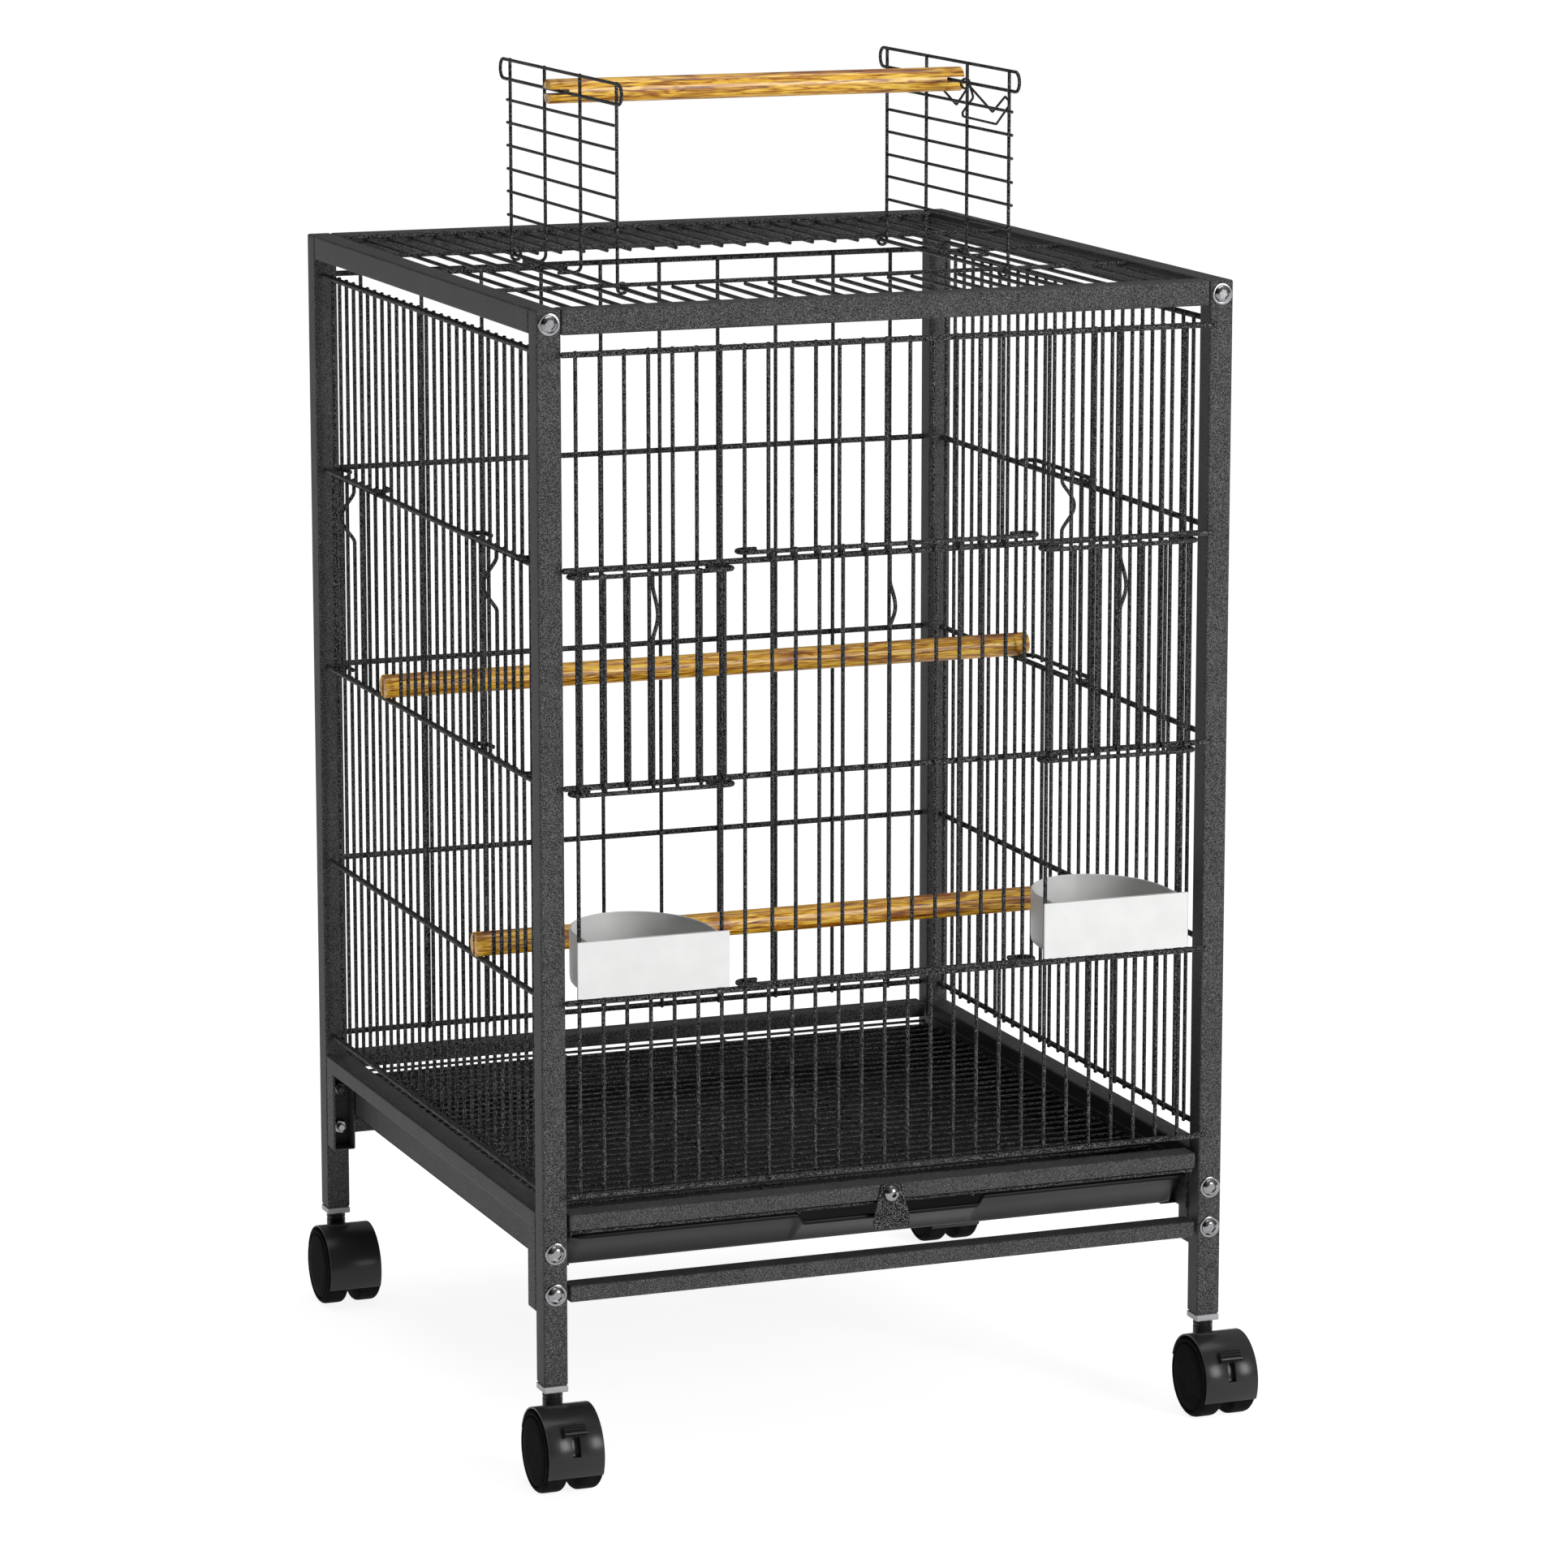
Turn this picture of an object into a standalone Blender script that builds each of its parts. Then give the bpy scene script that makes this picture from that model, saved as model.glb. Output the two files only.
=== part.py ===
"""Wire bird cage on a square-tube stand with twin-wheel casters, a folding play top, sliding doors,
seed cups, perches and a slide-out tray. Metres, +Z up, standing on z = 0, front towards -Y."""

import math

import bmesh
import bpy

# ---- driving dimensions -------------------------------------------------------------------------
WIDTH = 0.440  # across the outer faces of the posts
DEPTH = 0.451  # from the front faces to the rear faces of the posts
FRAME_TOP = 0.700
TUBE = 0.015  # square tube of the posts and the top rails
WALL = 0.0012
CLEAR = 0.0003  # between pieces that touch
POST_FOOT = 0.060

PITCH = 0.01485  # between the bars of the front and side panels
BAR = 0.0021
RAIL = 0.0032
PANEL = 0.0030  # thickness of a bar-and-rail lattice
DOOR_WIRE = 0.0023
LEVELS = [FRAME_TOP - drop for drop in (0.0257, 0.151, 0.279, 0.407, 0.524)]
FRONT_BARS = 27
SIDE_BARS = 28
SIDE_START = 0.0228  # depth of the first side bar
DOOR_HOOK = 0.005  # radius of the door hooks round their guide bars

TOP_WIRE = 0.0026
ROOF_HEIGHT = FRAME_TOP - 0.0042
ROOF_OPENING = (0.1205, 0.3235)  # depths of the wires in front of and behind the opening
HINGE_X = 0.1235
HINGE_INDEX = 8
ROOF_PITCH = HINGE_X / HINGE_INDEX
FLAP_OFFSET = 0.003
FLAP_BARS = (0.1235, 0.189, 0.2545, 0.320)
FLAP_WIRES = [FRAME_TOP + up for up in (0.0213, 0.036, 0.050, 0.0645, 0.0787, 0.0928)]
LOOP = (FRAME_TOP + 0.1055, FRAME_TOP + 0.1175)
LOOP_SPAN = (0.111, 0.335)

PERCH_R = 0.0075
SLIT = 0.0033
SLIT_DEPTH = 0.012

WHEEL_R = 0.025
WHEEL_HALF = 0.0185  # outer faces of a pair of wheels
WHEEL_GAP = 0.004
TRAIL = 0.018  # of the wheel axle behind its stem
HOOD_R = 0.0265
STEM_R = 0.004

POST_X = WIDTH / 2 - TUBE / 2
POST_DEPTHS = (TUBE / 2, DEPTH - TUBE / 2)
INNER_X = WIDTH / 2 - TUBE
FOREMOST = POST_DEPTHS[0] - TRAIL - HOOD_R
FRONT_Y = -(FOREMOST + DEPTH) / 2  # world y of the front faces of the posts

COLOURS = {
    "hammered_steel": ((0.055, 0.055, 0.058), 0.42, 0.6),
    "wire": ((0.03, 0.03, 0.032), 0.42, 0.6),
    "zinc": ((0.62, 0.62, 0.64), 0.3, 1.0),
    "white_plastic": ((0.86, 0.86, 0.85), 0.35, 0.0),
    "wood": ((0.55, 0.31, 0.15), 0.45, 0.0),
    "black_plastic": ((0.02, 0.02, 0.022), 0.45, 0.0),
    "tray_plastic": ((0.03, 0.03, 0.032), 0.5, 0.0),
    "grey_plastic": ((0.35, 0.35, 0.36), 0.5, 0.0),
}


def clear_scene():
    for thing in list(bpy.data.objects):
        bpy.data.objects.remove(thing, do_unlink=True)


def material(name):
    found = bpy.data.materials.get(name)
    if found:
        return found
    colour, roughness, metallic = COLOURS[name]
    made = bpy.data.materials.new(name)
    made.use_nodes = True
    shader = made.node_tree.nodes["Principled BSDF"]
    shader.inputs["Base Color"].default_value = (*colour, 1.0)
    shader.inputs["Roughness"].default_value = roughness
    shader.inputs["Metallic"].default_value = metallic
    return made


def make_object(name, bm, finish, pivot=(0.0, 0.0, 0.0)):
    """An object from a bmesh whose y is a depth behind the front faces; its origin goes to pivot."""
    bmesh.ops.translate(bm, verts=bm.verts, vec=[-value for value in pivot])
    bmesh.ops.recalc_face_normals(bm, faces=bm.faces)
    mesh = bpy.data.meshes.new(name)
    bm.to_mesh(mesh)
    bm.free()
    mesh.materials.append(material(finish))
    thing = bpy.data.objects.new(name, mesh)
    thing.location = (pivot[0], pivot[1] + FRONT_Y, pivot[2])
    bpy.context.collection.objects.link(thing)
    return thing


def smooth(thing, degrees=35.0):
    thing.data.shade_smooth()
    thing.data.set_sharp_from_angle(angle=math.radians(degrees))
    return thing


def boolean(thing, other, operation):
    """Adds a Boolean modifier and hides its guide object."""
    modifier = thing.modifiers.new(operation.title(), "BOOLEAN")
    modifier.operation = operation
    modifier.solver = "EXACT"
    modifier.object = other
    other.hide_render = True
    other.display_type = "WIRE"
    return thing


# ---- basic shapes -------------------------------------------------------------------------------
def box_cells(boxes):
    """The sorted edge planes of some boxes, and the grid cells that they fill."""
    planes = [sorted({round(edge, 7) for box in boxes for edge in box[axis]}) for axis in range(3)]
    filled = set()
    for box in boxes:
        spans = []
        for axis in range(3):
            low, high = (planes[axis].index(round(edge, 7)) for edge in box[axis])
            spans.append(range(low, high))
        filled |= {(i, j, k) for i in spans[0] for j in spans[1] for k in spans[2]}
    return planes, filled


def box_union(boxes):
    """One closed mesh round boxes ((x0, x1), (depth0, depth1), (z0, z1)) that cross or share faces."""
    planes, filled = box_cells(boxes)
    bm = bmesh.new()
    corners = {}

    def corner(i, j, k):
        if (i, j, k) not in corners:
            corners[i, j, k] = bm.verts.new((planes[0][i], planes[1][j], planes[2][k]))
        return corners[i, j, k]

    for cell in sorted(filled):
        for axis in range(3):
            for side in (0, 1):
                beside = list(cell)
                beside[axis] += 1 if side else -1
                if tuple(beside) in filled:
                    continue
                a, b = (axis + 1) % 3, (axis + 2) % 3
                ring = []
                for da, db in ((0, 0), (1, 0), (1, 1), (0, 1)):
                    at = list(cell)
                    at[axis] += side
                    at[a] += da
                    at[b] += db
                    ring.append(corner(*at))
                bm.faces.new(ring if side else ring[::-1])
    return bm


def box_object(name, boxes, finish, pivot=(0.0, 0.0, 0.0)):
    return make_object(name, box_union(boxes), finish, pivot)


def around(middle, thickness):
    return (middle - thickness / 2, middle + thickness / 2)


def extrusion(outline, axis, low, high):
    """A prism: outline points in the plane across an axis, from low to high along it."""
    bm = bmesh.new()

    def place(a, b, along):
        return {"x": (along, a, b), "y": (a, along, b), "z": (a, b, along)}[axis]

    first = [bm.verts.new(place(a, b, low)) for a, b in outline]
    last = [bm.verts.new(place(a, b, high)) for a, b in outline]
    count = len(outline)
    bm.faces.new(first[::-1])
    bm.faces.new(last)
    for i in range(count):
        bm.faces.new((first[i], first[(i + 1) % count], last[(i + 1) % count], last[i]))
    return bm


def circle(middle, radius, sides, start=0.0):
    steps = [start + 2 * math.pi * i / sides for i in range(sides)]
    return [(middle[0] + radius * math.cos(t), middle[1] + radius * math.sin(t)) for t in steps]


def turned(profile, centre, axis, sides):
    """A solid of revolution: profile of (radius, distance along the axis), radius 0 at both ends."""
    bm = bmesh.new()
    rings = []
    for radius, along in profile:
        ring = []
        for i in range(1 if radius == 0 else sides):
            turn = 2 * math.pi * i / sides
            across = (radius * math.cos(turn), radius * math.sin(turn))
            offset = {
                "x": (along, across[0], across[1]),
                "y": (across[0], along, across[1]),
                "z": (across[0], across[1], along),
            }[axis]
            ring.append(bm.verts.new([c + o for c, o in zip(centre, offset)]))
        rings.append(ring)
    for first, last in zip(rings, rings[1:]):
        for i in range(sides):
            j = (i + 1) % sides
            face = [first[i % len(first)], first[j % len(first)], last[j % len(last)], last[i % len(last)]]
            bm.faces.new(list(dict.fromkeys(face)))
    return bm


# ---- frame and stand ----------------------------------------------------------------------------
BOLT_HEIGHTS = [FRAME_TOP - drop for drop in (0.0082, 0.5588, 0.584)]
BOLT_R = 0.0025
LEG_DEPTHS = ((TUBE + CLEAR, 2 * TUBE), (DEPTH - 2 * TUBE, DEPTH - TUBE - CLEAR))
BASE_RAIL = (FRAME_TOP - 0.5465, FRAME_TOP - 0.5365)
STRETCHER = (FRAME_TOP - 0.590, FRAME_TOP - 0.580)
SIDE_RAIL = (FRAME_TOP - 0.547, FRAME_TOP - 0.536)
LEG_FOOT = FRAME_TOP - 0.5975
BASE_DEPTHS = (0.001, 0.016)
BASE_HALF = 0.2032
SCREW = (0.0013, FRAME_TOP - 0.5424)  # x and height of the tray tab's screw
SCREW_R = 0.002


def square_tube(name, x, depth, z, along, closed_end=False):
    """A rectangular tube, open at its ends, or closed at its far end."""
    outer = [x, depth, z]
    inner = [(low + WALL, high - WALL) for low, high in outer]
    low, high = outer[along]
    inner[along] = (low - WALL, high - WALL if closed_end else high + WALL)
    tube = box_object(name, [tuple(outer)], "hammered_steel")
    bore = box_object(name + "_bore", [tuple(inner)], "hammered_steel")
    return boolean(tube, bore, "DIFFERENCE")


def bolt_holes(thing, x, depths, heights, radius):
    for number, height in enumerate(heights):
        cutter = extrusion(circle((x, height), radius, 8, math.pi / 8), "y", *depths)
        hole = make_object(f"{thing.name}_hole_{number}", cutter, "hammered_steel")
        boolean(thing, hole, "DIFFERENCE")


def build_posts():
    for side, x in (("left", -POST_X), ("right", POST_X)):
        for end, depth in zip(("front", "rear"), POST_DEPTHS):
            post = square_tube(
                f"{end}_{side}_post", around(x, TUBE), around(depth, TUBE), (POST_FOOT, FRAME_TOP), 2, True
            )
            if end == "front":
                bolt_holes(post, x, (-TUBE, 2 * TUBE), BOLT_HEIGHTS, BOLT_R + CLEAR)


def build_top_rails():
    height = (FRAME_TOP - TUBE, FRAME_TOP)
    across = (-INNER_X + CLEAR, INNER_X - CLEAR)
    along = (TUBE + CLEAR, DEPTH - TUBE - CLEAR)
    for end, depth in zip(("front", "rear"), POST_DEPTHS):
        square_tube(f"{end}_top_rail", across, around(depth, TUBE), height, 0)
    for side, x in (("left", -POST_X), ("right", POST_X)):
        square_tube(f"{side}_top_rail", around(x, TUBE), along, height, 1)


def build_base():
    mirrored = (DEPTH - BASE_DEPTHS[1], DEPTH - BASE_DEPTHS[0])
    for end, depths in (("front", BASE_DEPTHS), ("rear", mirrored)):
        rail = square_tube(f"{end}_base_rail", (-BASE_HALF, BASE_HALF), depths, BASE_RAIL, 0)
        if end == "front":
            bolt_holes(rail, SCREW[0], (-TUBE, TUBE / 2), [SCREW[1]], SCREW_R + CLEAR)
        square_tube(f"{end}_stretcher", (-BASE_HALF, BASE_HALF), depths, STRETCHER, 0)
    for side, x in (("left", -POST_X), ("right", POST_X)):
        wide = around(x, TUBE)
        boxes = [(wide, (LEG_DEPTHS[0][0], LEG_DEPTHS[1][1]), SIDE_RAIL)]
        boxes += [(wide, depths, (LEG_FOOT, SIDE_RAIL[1])) for depths in LEG_DEPTHS]
        frame = box_object(f"{side}_base_frame", boxes, "hammered_steel")
        bolt_holes(frame, x, (0.0, 3 * TUBE), BOLT_HEIGHTS[1:], BOLT_R + CLEAR)


def build_bolts():
    """Button-head bolts with a washer, through the front posts; their far ends stand 4 mm proud."""
    profile = [(0, -0.0038), (0.0032, -0.0036), (0.0048, -0.0024), (0.005, -0.0013), (0.0065, -0.0013)]
    profile += [(0.0065, -CLEAR), (BOLT_R, -CLEAR), (BOLT_R, 0.034), (0, 0.034)]
    for side, x in (("left", -POST_X), ("right", POST_X)):
        for place, height in zip(("top", "upper", "lower"), BOLT_HEIGHTS):
            bolt = turned(profile, (x, 0.0, height), "y", 8)
            smooth(make_object(f"{side}_{place}_bolt", bolt, "zinc"))


# ---- wire panels --------------------------------------------------------------------------------
FRONT_PLANE = around(-0.004, PANEL)
SIDE_PLANE = 0.2136
REAR_PLANE = around(DEPTH - 0.0047, PANEL)
FRONT_REACH = INNER_X - CLEAR
BARS_X = [(i - (FRONT_BARS - 1) / 2) * PITCH - 0.00415 for i in range(FRONT_BARS)]
BARS_DEPTH = [SIDE_START + PITCH * j for j in range(SIDE_BARS)]
MAIN_DOOR = (7, 19)
FEEDERS = {"left": (0, 6), "right": (20, 26)}
SIDE_DOORS = {"left_front": (1, 7), "left_rear": (20, 26), "right": (12, 18)}


def spans(gaps):
    """The runs of a bar, as (bottom, top) heights, that remain when the rows in gaps are left out."""
    runs = []
    for row in range(len(LEVELS) - 1):
        if row in gaps:
            continue
        if runs and runs[-1][1] == row:
            runs[-1][1] = row + 1
        else:
            runs.append([row, row + 1])
    return [(LEVELS[bottom] - RAIL / 2, LEVELS[top] + RAIL / 2) for top, bottom in runs]


def front_gaps(i):
    gaps = set()
    if MAIN_DOOR[0] < i < MAIN_DOOR[1]:
        gaps |= {1, 2}
    if any(low < i < high for low, high in FEEDERS.values()):
        gaps.add(2)
    return gaps


def build_front_grille():
    boxes = [((-FRONT_REACH, FRONT_REACH), FRONT_PLANE, around(z, RAIL)) for z in LEVELS]
    for i, x in enumerate(BARS_X):
        boxes += [(around(x, BAR), FRONT_PLANE, span) for span in spans(front_gaps(i))]
    box_object("front_grille", boxes, "wire")


def build_side_grilles():
    reach = (TUBE + CLEAR, DEPTH - TUBE - CLEAR)
    for side, sign in (("left", -1), ("right", 1)):
        plane = around(sign * SIDE_PLANE, PANEL)
        boxes = [(plane, reach, around(z, RAIL)) for z in LEVELS]
        doors = [pair for name, pair in SIDE_DOORS.items() if name.startswith(side)]
        for j, depth in enumerate(BARS_DEPTH):
            gaps = {1} if any(low < j < high for low, high in doors) else set()
            boxes += [(plane, around(depth, BAR), span) for span in spans(gaps)]
        box_object(f"{side}_grille", boxes, "wire")


def build_rear_grille():
    boxes = [((-FRONT_REACH, FRONT_REACH), REAR_PLANE, around(z, RAIL)) for z in LEVELS]
    for i in range(10):
        x = (i - 4.5) * 0.0407
        boxes.append((around(x, BAR), REAR_PLANE, (LEVELS[-1] - RAIL / 2, LEVELS[0] + RAIL / 2)))
    box_object("rear_grille", boxes, "wire")


def build_top_grille():
    height = around(ROOF_HEIGHT, TOP_WIRE)
    reach = INNER_X - CLEAR
    ends = (TUBE + CLEAR, DEPTH - TUBE - CLEAR)
    rims = (ends[0] + TOP_WIRE / 2, ends[1] - TOP_WIRE / 2)
    boxes = [((-reach, reach), around(depth, TOP_WIRE), height) for depth in (*rims, *ROOF_OPENING)]
    middle = sum(ROOF_OPENING) / 2 + 0.0035
    for sign in (-1, 1):
        across = sorted((sign * HINGE_X, sign * reach))
        boxes.append((tuple(across), around(middle, TOP_WIRE), height))
    for k in range(-13, 14):
        x = k * ROOF_PITCH
        if abs(k) < HINGE_INDEX:
            boxes.append((around(x, BAR), (ends[0], ROOF_OPENING[0]), height))
            boxes.append((around(x, BAR), (ROOF_OPENING[1], ends[1]), height))
        else:
            thick = TOP_WIRE if abs(k) == HINGE_INDEX else BAR
            boxes.append((around(x, thick), ends, height))
    box_object("top_grille", boxes, "wire")


# ---- doors --------------------------------------------------------------------------------------
HOOK_REACH = 0.0085  # run of a hook's rear leg past the guide bar
BULGE_OUT = 0.0088
BULGE_DROP = (0.018, 0.046)  # of the finger bulge below the door's top rail
DOOR_OUT = 0.0046  # of the door's plane from the middle of the panel
HOOK_IN = 0.0045


def door_boxes(first, last, bars, low, high):
    """A door in its own axes: along the panel, outward from its middle plane, and up."""
    top, bottom = around(high, DOOR_WIRE), around(low, DOOR_WIRE)
    plane = around(DOOR_OUT, DOOR_WIRE)
    middle = bars[len(bars) // 2]
    boxes = []
    for rail in (top, bottom):
        edge = (first - DOOR_HOOK - DOOR_WIRE / 2, last + DOOR_HOOK + DOOR_WIRE / 2)
        boxes.append((edge, plane, rail))
        for guide, sign in ((first, -1), (last, 1)):
            bend = around(guide + sign * DOOR_HOOK, DOOR_WIRE)
            boxes.append((bend, (-HOOK_IN - DOOR_WIRE / 2, plane[1]), rail))
            leg = sorted((guide + sign * DOOR_HOOK, guide - sign * HOOK_REACH))
            boxes.append((tuple(leg), around(-HOOK_IN, DOOR_WIRE), rail))
    crest = (high - BULGE_DROP[1], high - BULGE_DROP[0])
    for at in bars:
        wide = around(at, BAR)
        if at != middle:
            boxes.append((wide, plane, (bottom[0], top[1])))
            continue
        boxes.append((wide, plane, (bottom[0], crest[0] + BAR)))
        boxes.append((wide, plane, (crest[1] - BAR, top[1])))
        out = DOOR_OUT + BULGE_OUT
        for edge in ((crest[0], crest[0] + BAR), (crest[1] - BAR, crest[1])):
            boxes.append((wide, (plane[0], out), edge))
        boxes.append((wide, (out - BAR, out), crest))
    return boxes


def oriented(boxes, facing, plane):
    """Turns door boxes to face 'front', 'left' or 'right' from a panel plane."""
    turned_boxes = []
    for along, outward, up in boxes:
        sign = 1 if facing == "right" else -1
        out = tuple(sorted(plane + sign * edge for edge in outward))
        turned_boxes.append((along, out, up) if facing == "front" else (out, along, up))
    return turned_boxes


def build_doors():
    front = sum(FRONT_PLANE) / 2
    low, high = MAIN_DOOR
    boxes = door_boxes(BARS_X[low], BARS_X[high], BARS_X[low + 1 : high],
                       FRAME_TOP - 0.4035, FRAME_TOP - 0.1455)
    box_object("main_door", oriented(boxes, "front", front), "wire")
    for side, (low, high) in FEEDERS.items():
        boxes = door_boxes(BARS_X[low], BARS_X[high], BARS_X[low : high + 1],
                           FRAME_TOP - 0.2825, FRAME_TOP - 0.1547)
        box_object(f"{side}_feeder_door", oriented(boxes, "front", front), "wire")
    for name, (low, high) in SIDE_DOORS.items():
        side = name.split("_")[0]
        boxes = door_boxes(BARS_DEPTH[low], BARS_DEPTH[high], BARS_DEPTH[low : high + 1],
                           FRAME_TOP - 0.2757, FRAME_TOP - 0.1477)
        plane = -SIDE_PLANE if side == "left" else SIDE_PLANE
        box_object(f"{name}_side_door", oriented(boxes, side, plane), "wire")


# ---- play top -----------------------------------------------------------------------------------
RING_GAP = 0.0030  # from the hinge wire's axis to the middle of the ring wire
FOOT_RUN = 0.015


def flap_boxes():
    """The right flap, upright: depths and heights in the frame, x outward from the hinge wire."""
    plane = around(FLAP_OFFSET, BAR)
    ring_low = ROOF_HEIGHT - RING_GAP
    boxes = [(plane, (FLAP_BARS[0], FLAP_BARS[-1]), around(z, BAR)) for z in FLAP_WIRES]
    boxes += [(plane, LOOP_SPAN, around(z, BAR)) for z in LOOP]
    loop = (LOOP[0] - BAR / 2, LOOP[1] + BAR / 2)
    boxes += [(plane, span, loop) for span in
              ((LOOP_SPAN[0], LOOP_SPAN[0] + BAR), (LOOP_SPAN[1] - BAR, LOOP_SPAN[1]))]
    for depth in (FLAP_BARS[0], FLAP_BARS[-1]):
        thick = around(depth, BAR)
        boxes.append((plane, thick, (ring_low - BAR / 2, loop[1])))
        inner = (-RING_GAP - BAR / 2, -RING_GAP + BAR / 2)
        boxes.append(((inner[0], plane[1]), thick, around(ring_low, BAR)))
        boxes.append((inner, thick, (ring_low - BAR / 2, ROOF_HEIGHT + 0.003)))
    foot = around(ROOF_HEIGHT + 0.0028, BAR)
    far = FLAP_OFFSET + FOOT_RUN
    for depth in FLAP_BARS[1:-1]:
        thick = around(depth, BAR)
        boxes.append((plane, thick, (foot[0], loop[1])))
        boxes.append(((plane[0], far), thick, foot))
    boxes.append(((far - BAR, far), (FLAP_BARS[1] - BAR / 2, FLAP_BARS[2] + BAR / 2), foot))
    return boxes


LATCH_SPAN = (0.134, 0.205)
LATCH_OUT = 0.0036  # of the latch's plane outside the flap's plane
LATCH_DROP = 0.0205


def build_play_top():
    for side, sign in (("left", -1), ("right", 1)):
        boxes = []
        for x, depth, z in flap_boxes():
            boxes.append((tuple(sorted(sign * (HINGE_X + edge) for edge in x)), depth, z))
        pivot = (sign * HINGE_X, 0.0, ROOF_HEIGHT)
        box_object(f"{side}_play_flap", boxes, "wire", pivot)
    build_latch()


def build_latch():
    """A wire catch: an eye round the right flap's lower loop wire, and a hanging closed loop."""
    axis_x, axis_z = HINGE_X + FLAP_OFFSET, LOOP[0]
    eye = 0.182
    thick = around(eye, BAR)
    inside, outside = axis_x - 0.0030, axis_x + LATCH_OUT
    top, bottom = axis_z + 0.0030, axis_z - LATCH_DROP
    ring_low = axis_z - 0.0030
    plane = around(outside, BAR)
    boxes = [
        ((inside - BAR / 2, outside + BAR / 2), thick, around(top, BAR)),
        (around(inside, BAR), thick, (ring_low - BAR / 2, top + BAR / 2)),
        (plane, thick, (axis_z - 0.0080, top + BAR / 2)),
        (plane, LATCH_SPAN, around(axis_z - 0.0080, BAR)),
        (plane, LATCH_SPAN, around(bottom, BAR)),
    ]
    for edge in (LATCH_SPAN[0], LATCH_SPAN[1] - BAR):
        boxes.append((plane, (edge, edge + BAR), (bottom - BAR / 2, axis_z - 0.0080 + BAR / 2)))
    box_object("play_latch", boxes, "wire", (axis_x, eye, axis_z))


# ---- perches ------------------------------------------------------------------------------------
PERCHES = {
    # name: (depth, height, half length, whether the end slits stand upright)
    "upper_perch": (BARS_DEPTH[19], FRAME_TOP - 0.2696, 0.219, True),
    "lower_perch": (BARS_DEPTH[7], FRAME_TOP - 0.3976, 0.2195, True),
    "play_perch": (0.2225, LOOP[0], 0.136, False),
}


def build_perches():
    for name, (depth, height, half, upright) in PERCHES.items():
        dowel = extrusion(circle((depth, height), PERCH_R, 16), "x", -half, half)
        perch = smooth(make_object(name, dowel, "wood"))
        wide, narrow = 2 * PERCH_R + 0.002, SLIT
        for end, sign in (("left", -1), ("right", 1)):
            run = tuple(sorted((sign * (half - SLIT_DEPTH), sign * (half + 0.002))))
            cut = (run, around(depth, narrow if upright else wide),
                   around(height, wide if upright else narrow))
            boolean(perch, box_object(f"{name}_{end}_slit", [cut], "wood"), "DIFFERENCE")


# ---- cups ---------------------------------------------------------------------------------------
CUP_FACE = 0.095
CUP_HEIGHT = (FRAME_TOP - 0.4033, FRAME_TOP - 0.3703)
CUP_FACE_DEPTHS = (-0.0078, -0.0058)
CUP_HALF = 0.0415
CUP_REACH = 0.0725  # of the bowl behind the panel
CUP_STRAIGHT = 0.020  # of the bowl's sides before it rounds
CUP_WALL = 0.0015


def bowl_outline(half, reach, middle, start):
    """A half-round outline with a straight front, from start to start + reach in depth."""
    steps = [math.pi * i / 12 for i in range(13)]
    depth = reach - CUP_STRAIGHT
    return [(middle + half * math.cos(t), start + CUP_STRAIGHT + depth * math.sin(t)) for t in steps] + [
        (middle - half, start), (middle + half, start)
    ]


def build_cups():
    low, high = CUP_HEIGHT
    for side, (first, last) in FEEDERS.items():
        middle = (BARS_X[first] + BARS_X[last]) / 2
        face = [(around(middle, CUP_FACE), CUP_FACE_DEPTHS, (low, high))]
        cup = box_object(f"{side}_cup", face, "white_plastic")
        start = CUP_FACE_DEPTHS[1] - 0.0005
        outer = extrusion(bowl_outline(CUP_HALF, CUP_REACH, middle, start), "z", low, high)
        boolean(cup, make_object(f"{side}_cup_bowl", outer, "white_plastic"), "UNION")
        inner = bowl_outline(CUP_HALF - CUP_WALL, CUP_REACH - 2 * CUP_WALL, middle, start + CUP_WALL)
        hollow = extrusion(inner, "z", low + CUP_WALL, high + 0.002)
        boolean(cup, make_object(f"{side}_cup_hollow", hollow, "white_plastic"), "DIFFERENCE")


# ---- tray, grate and tab ------------------------------------------------------------------------
TRAY_HALF = 0.203
TRAY_DEPTHS = (0.006, 0.434)
TRAY_SLOPE = 0.020  # of the front wall from lip to floor
TRAY_HEIGHT = (FRAME_TOP - 0.5738, FRAME_TOP - 0.5505)
TRAY_WALL = 0.0015
NOTCH = (-0.057, 0.065)
NOTCH_DROP = 0.005
GRATE_HEIGHT = FRAME_TOP - 0.5485
GRATE_WIRE = 0.0019
GRATE_WIRES = 35  # across the cage
GRATE_STAYS = (-0.0565, 0.0565)  # wires that run front to back between the outer two
GRATE_DEPTHS = (0.0035, 0.4335)
GRATE_HALF = 0.2025
RUNNER_TOP = FRAME_TOP - 0.5473
RUNNER_SHELF = (FRAME_TOP - 0.5755, FRAME_TOP - 0.5743)


def tray_shape(inset, top):
    """The tray's outer form, or with an inset its hollow."""
    front, back = TRAY_DEPTHS[0] + inset, TRAY_DEPTHS[1] - inset
    floor = TRAY_HEIGHT[0] + inset
    outline = [(front, top), (front + TRAY_SLOPE, floor), (back, floor), (back, top)]
    return extrusion(outline, "x", -TRAY_HALF + inset, TRAY_HALF - inset)


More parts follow.
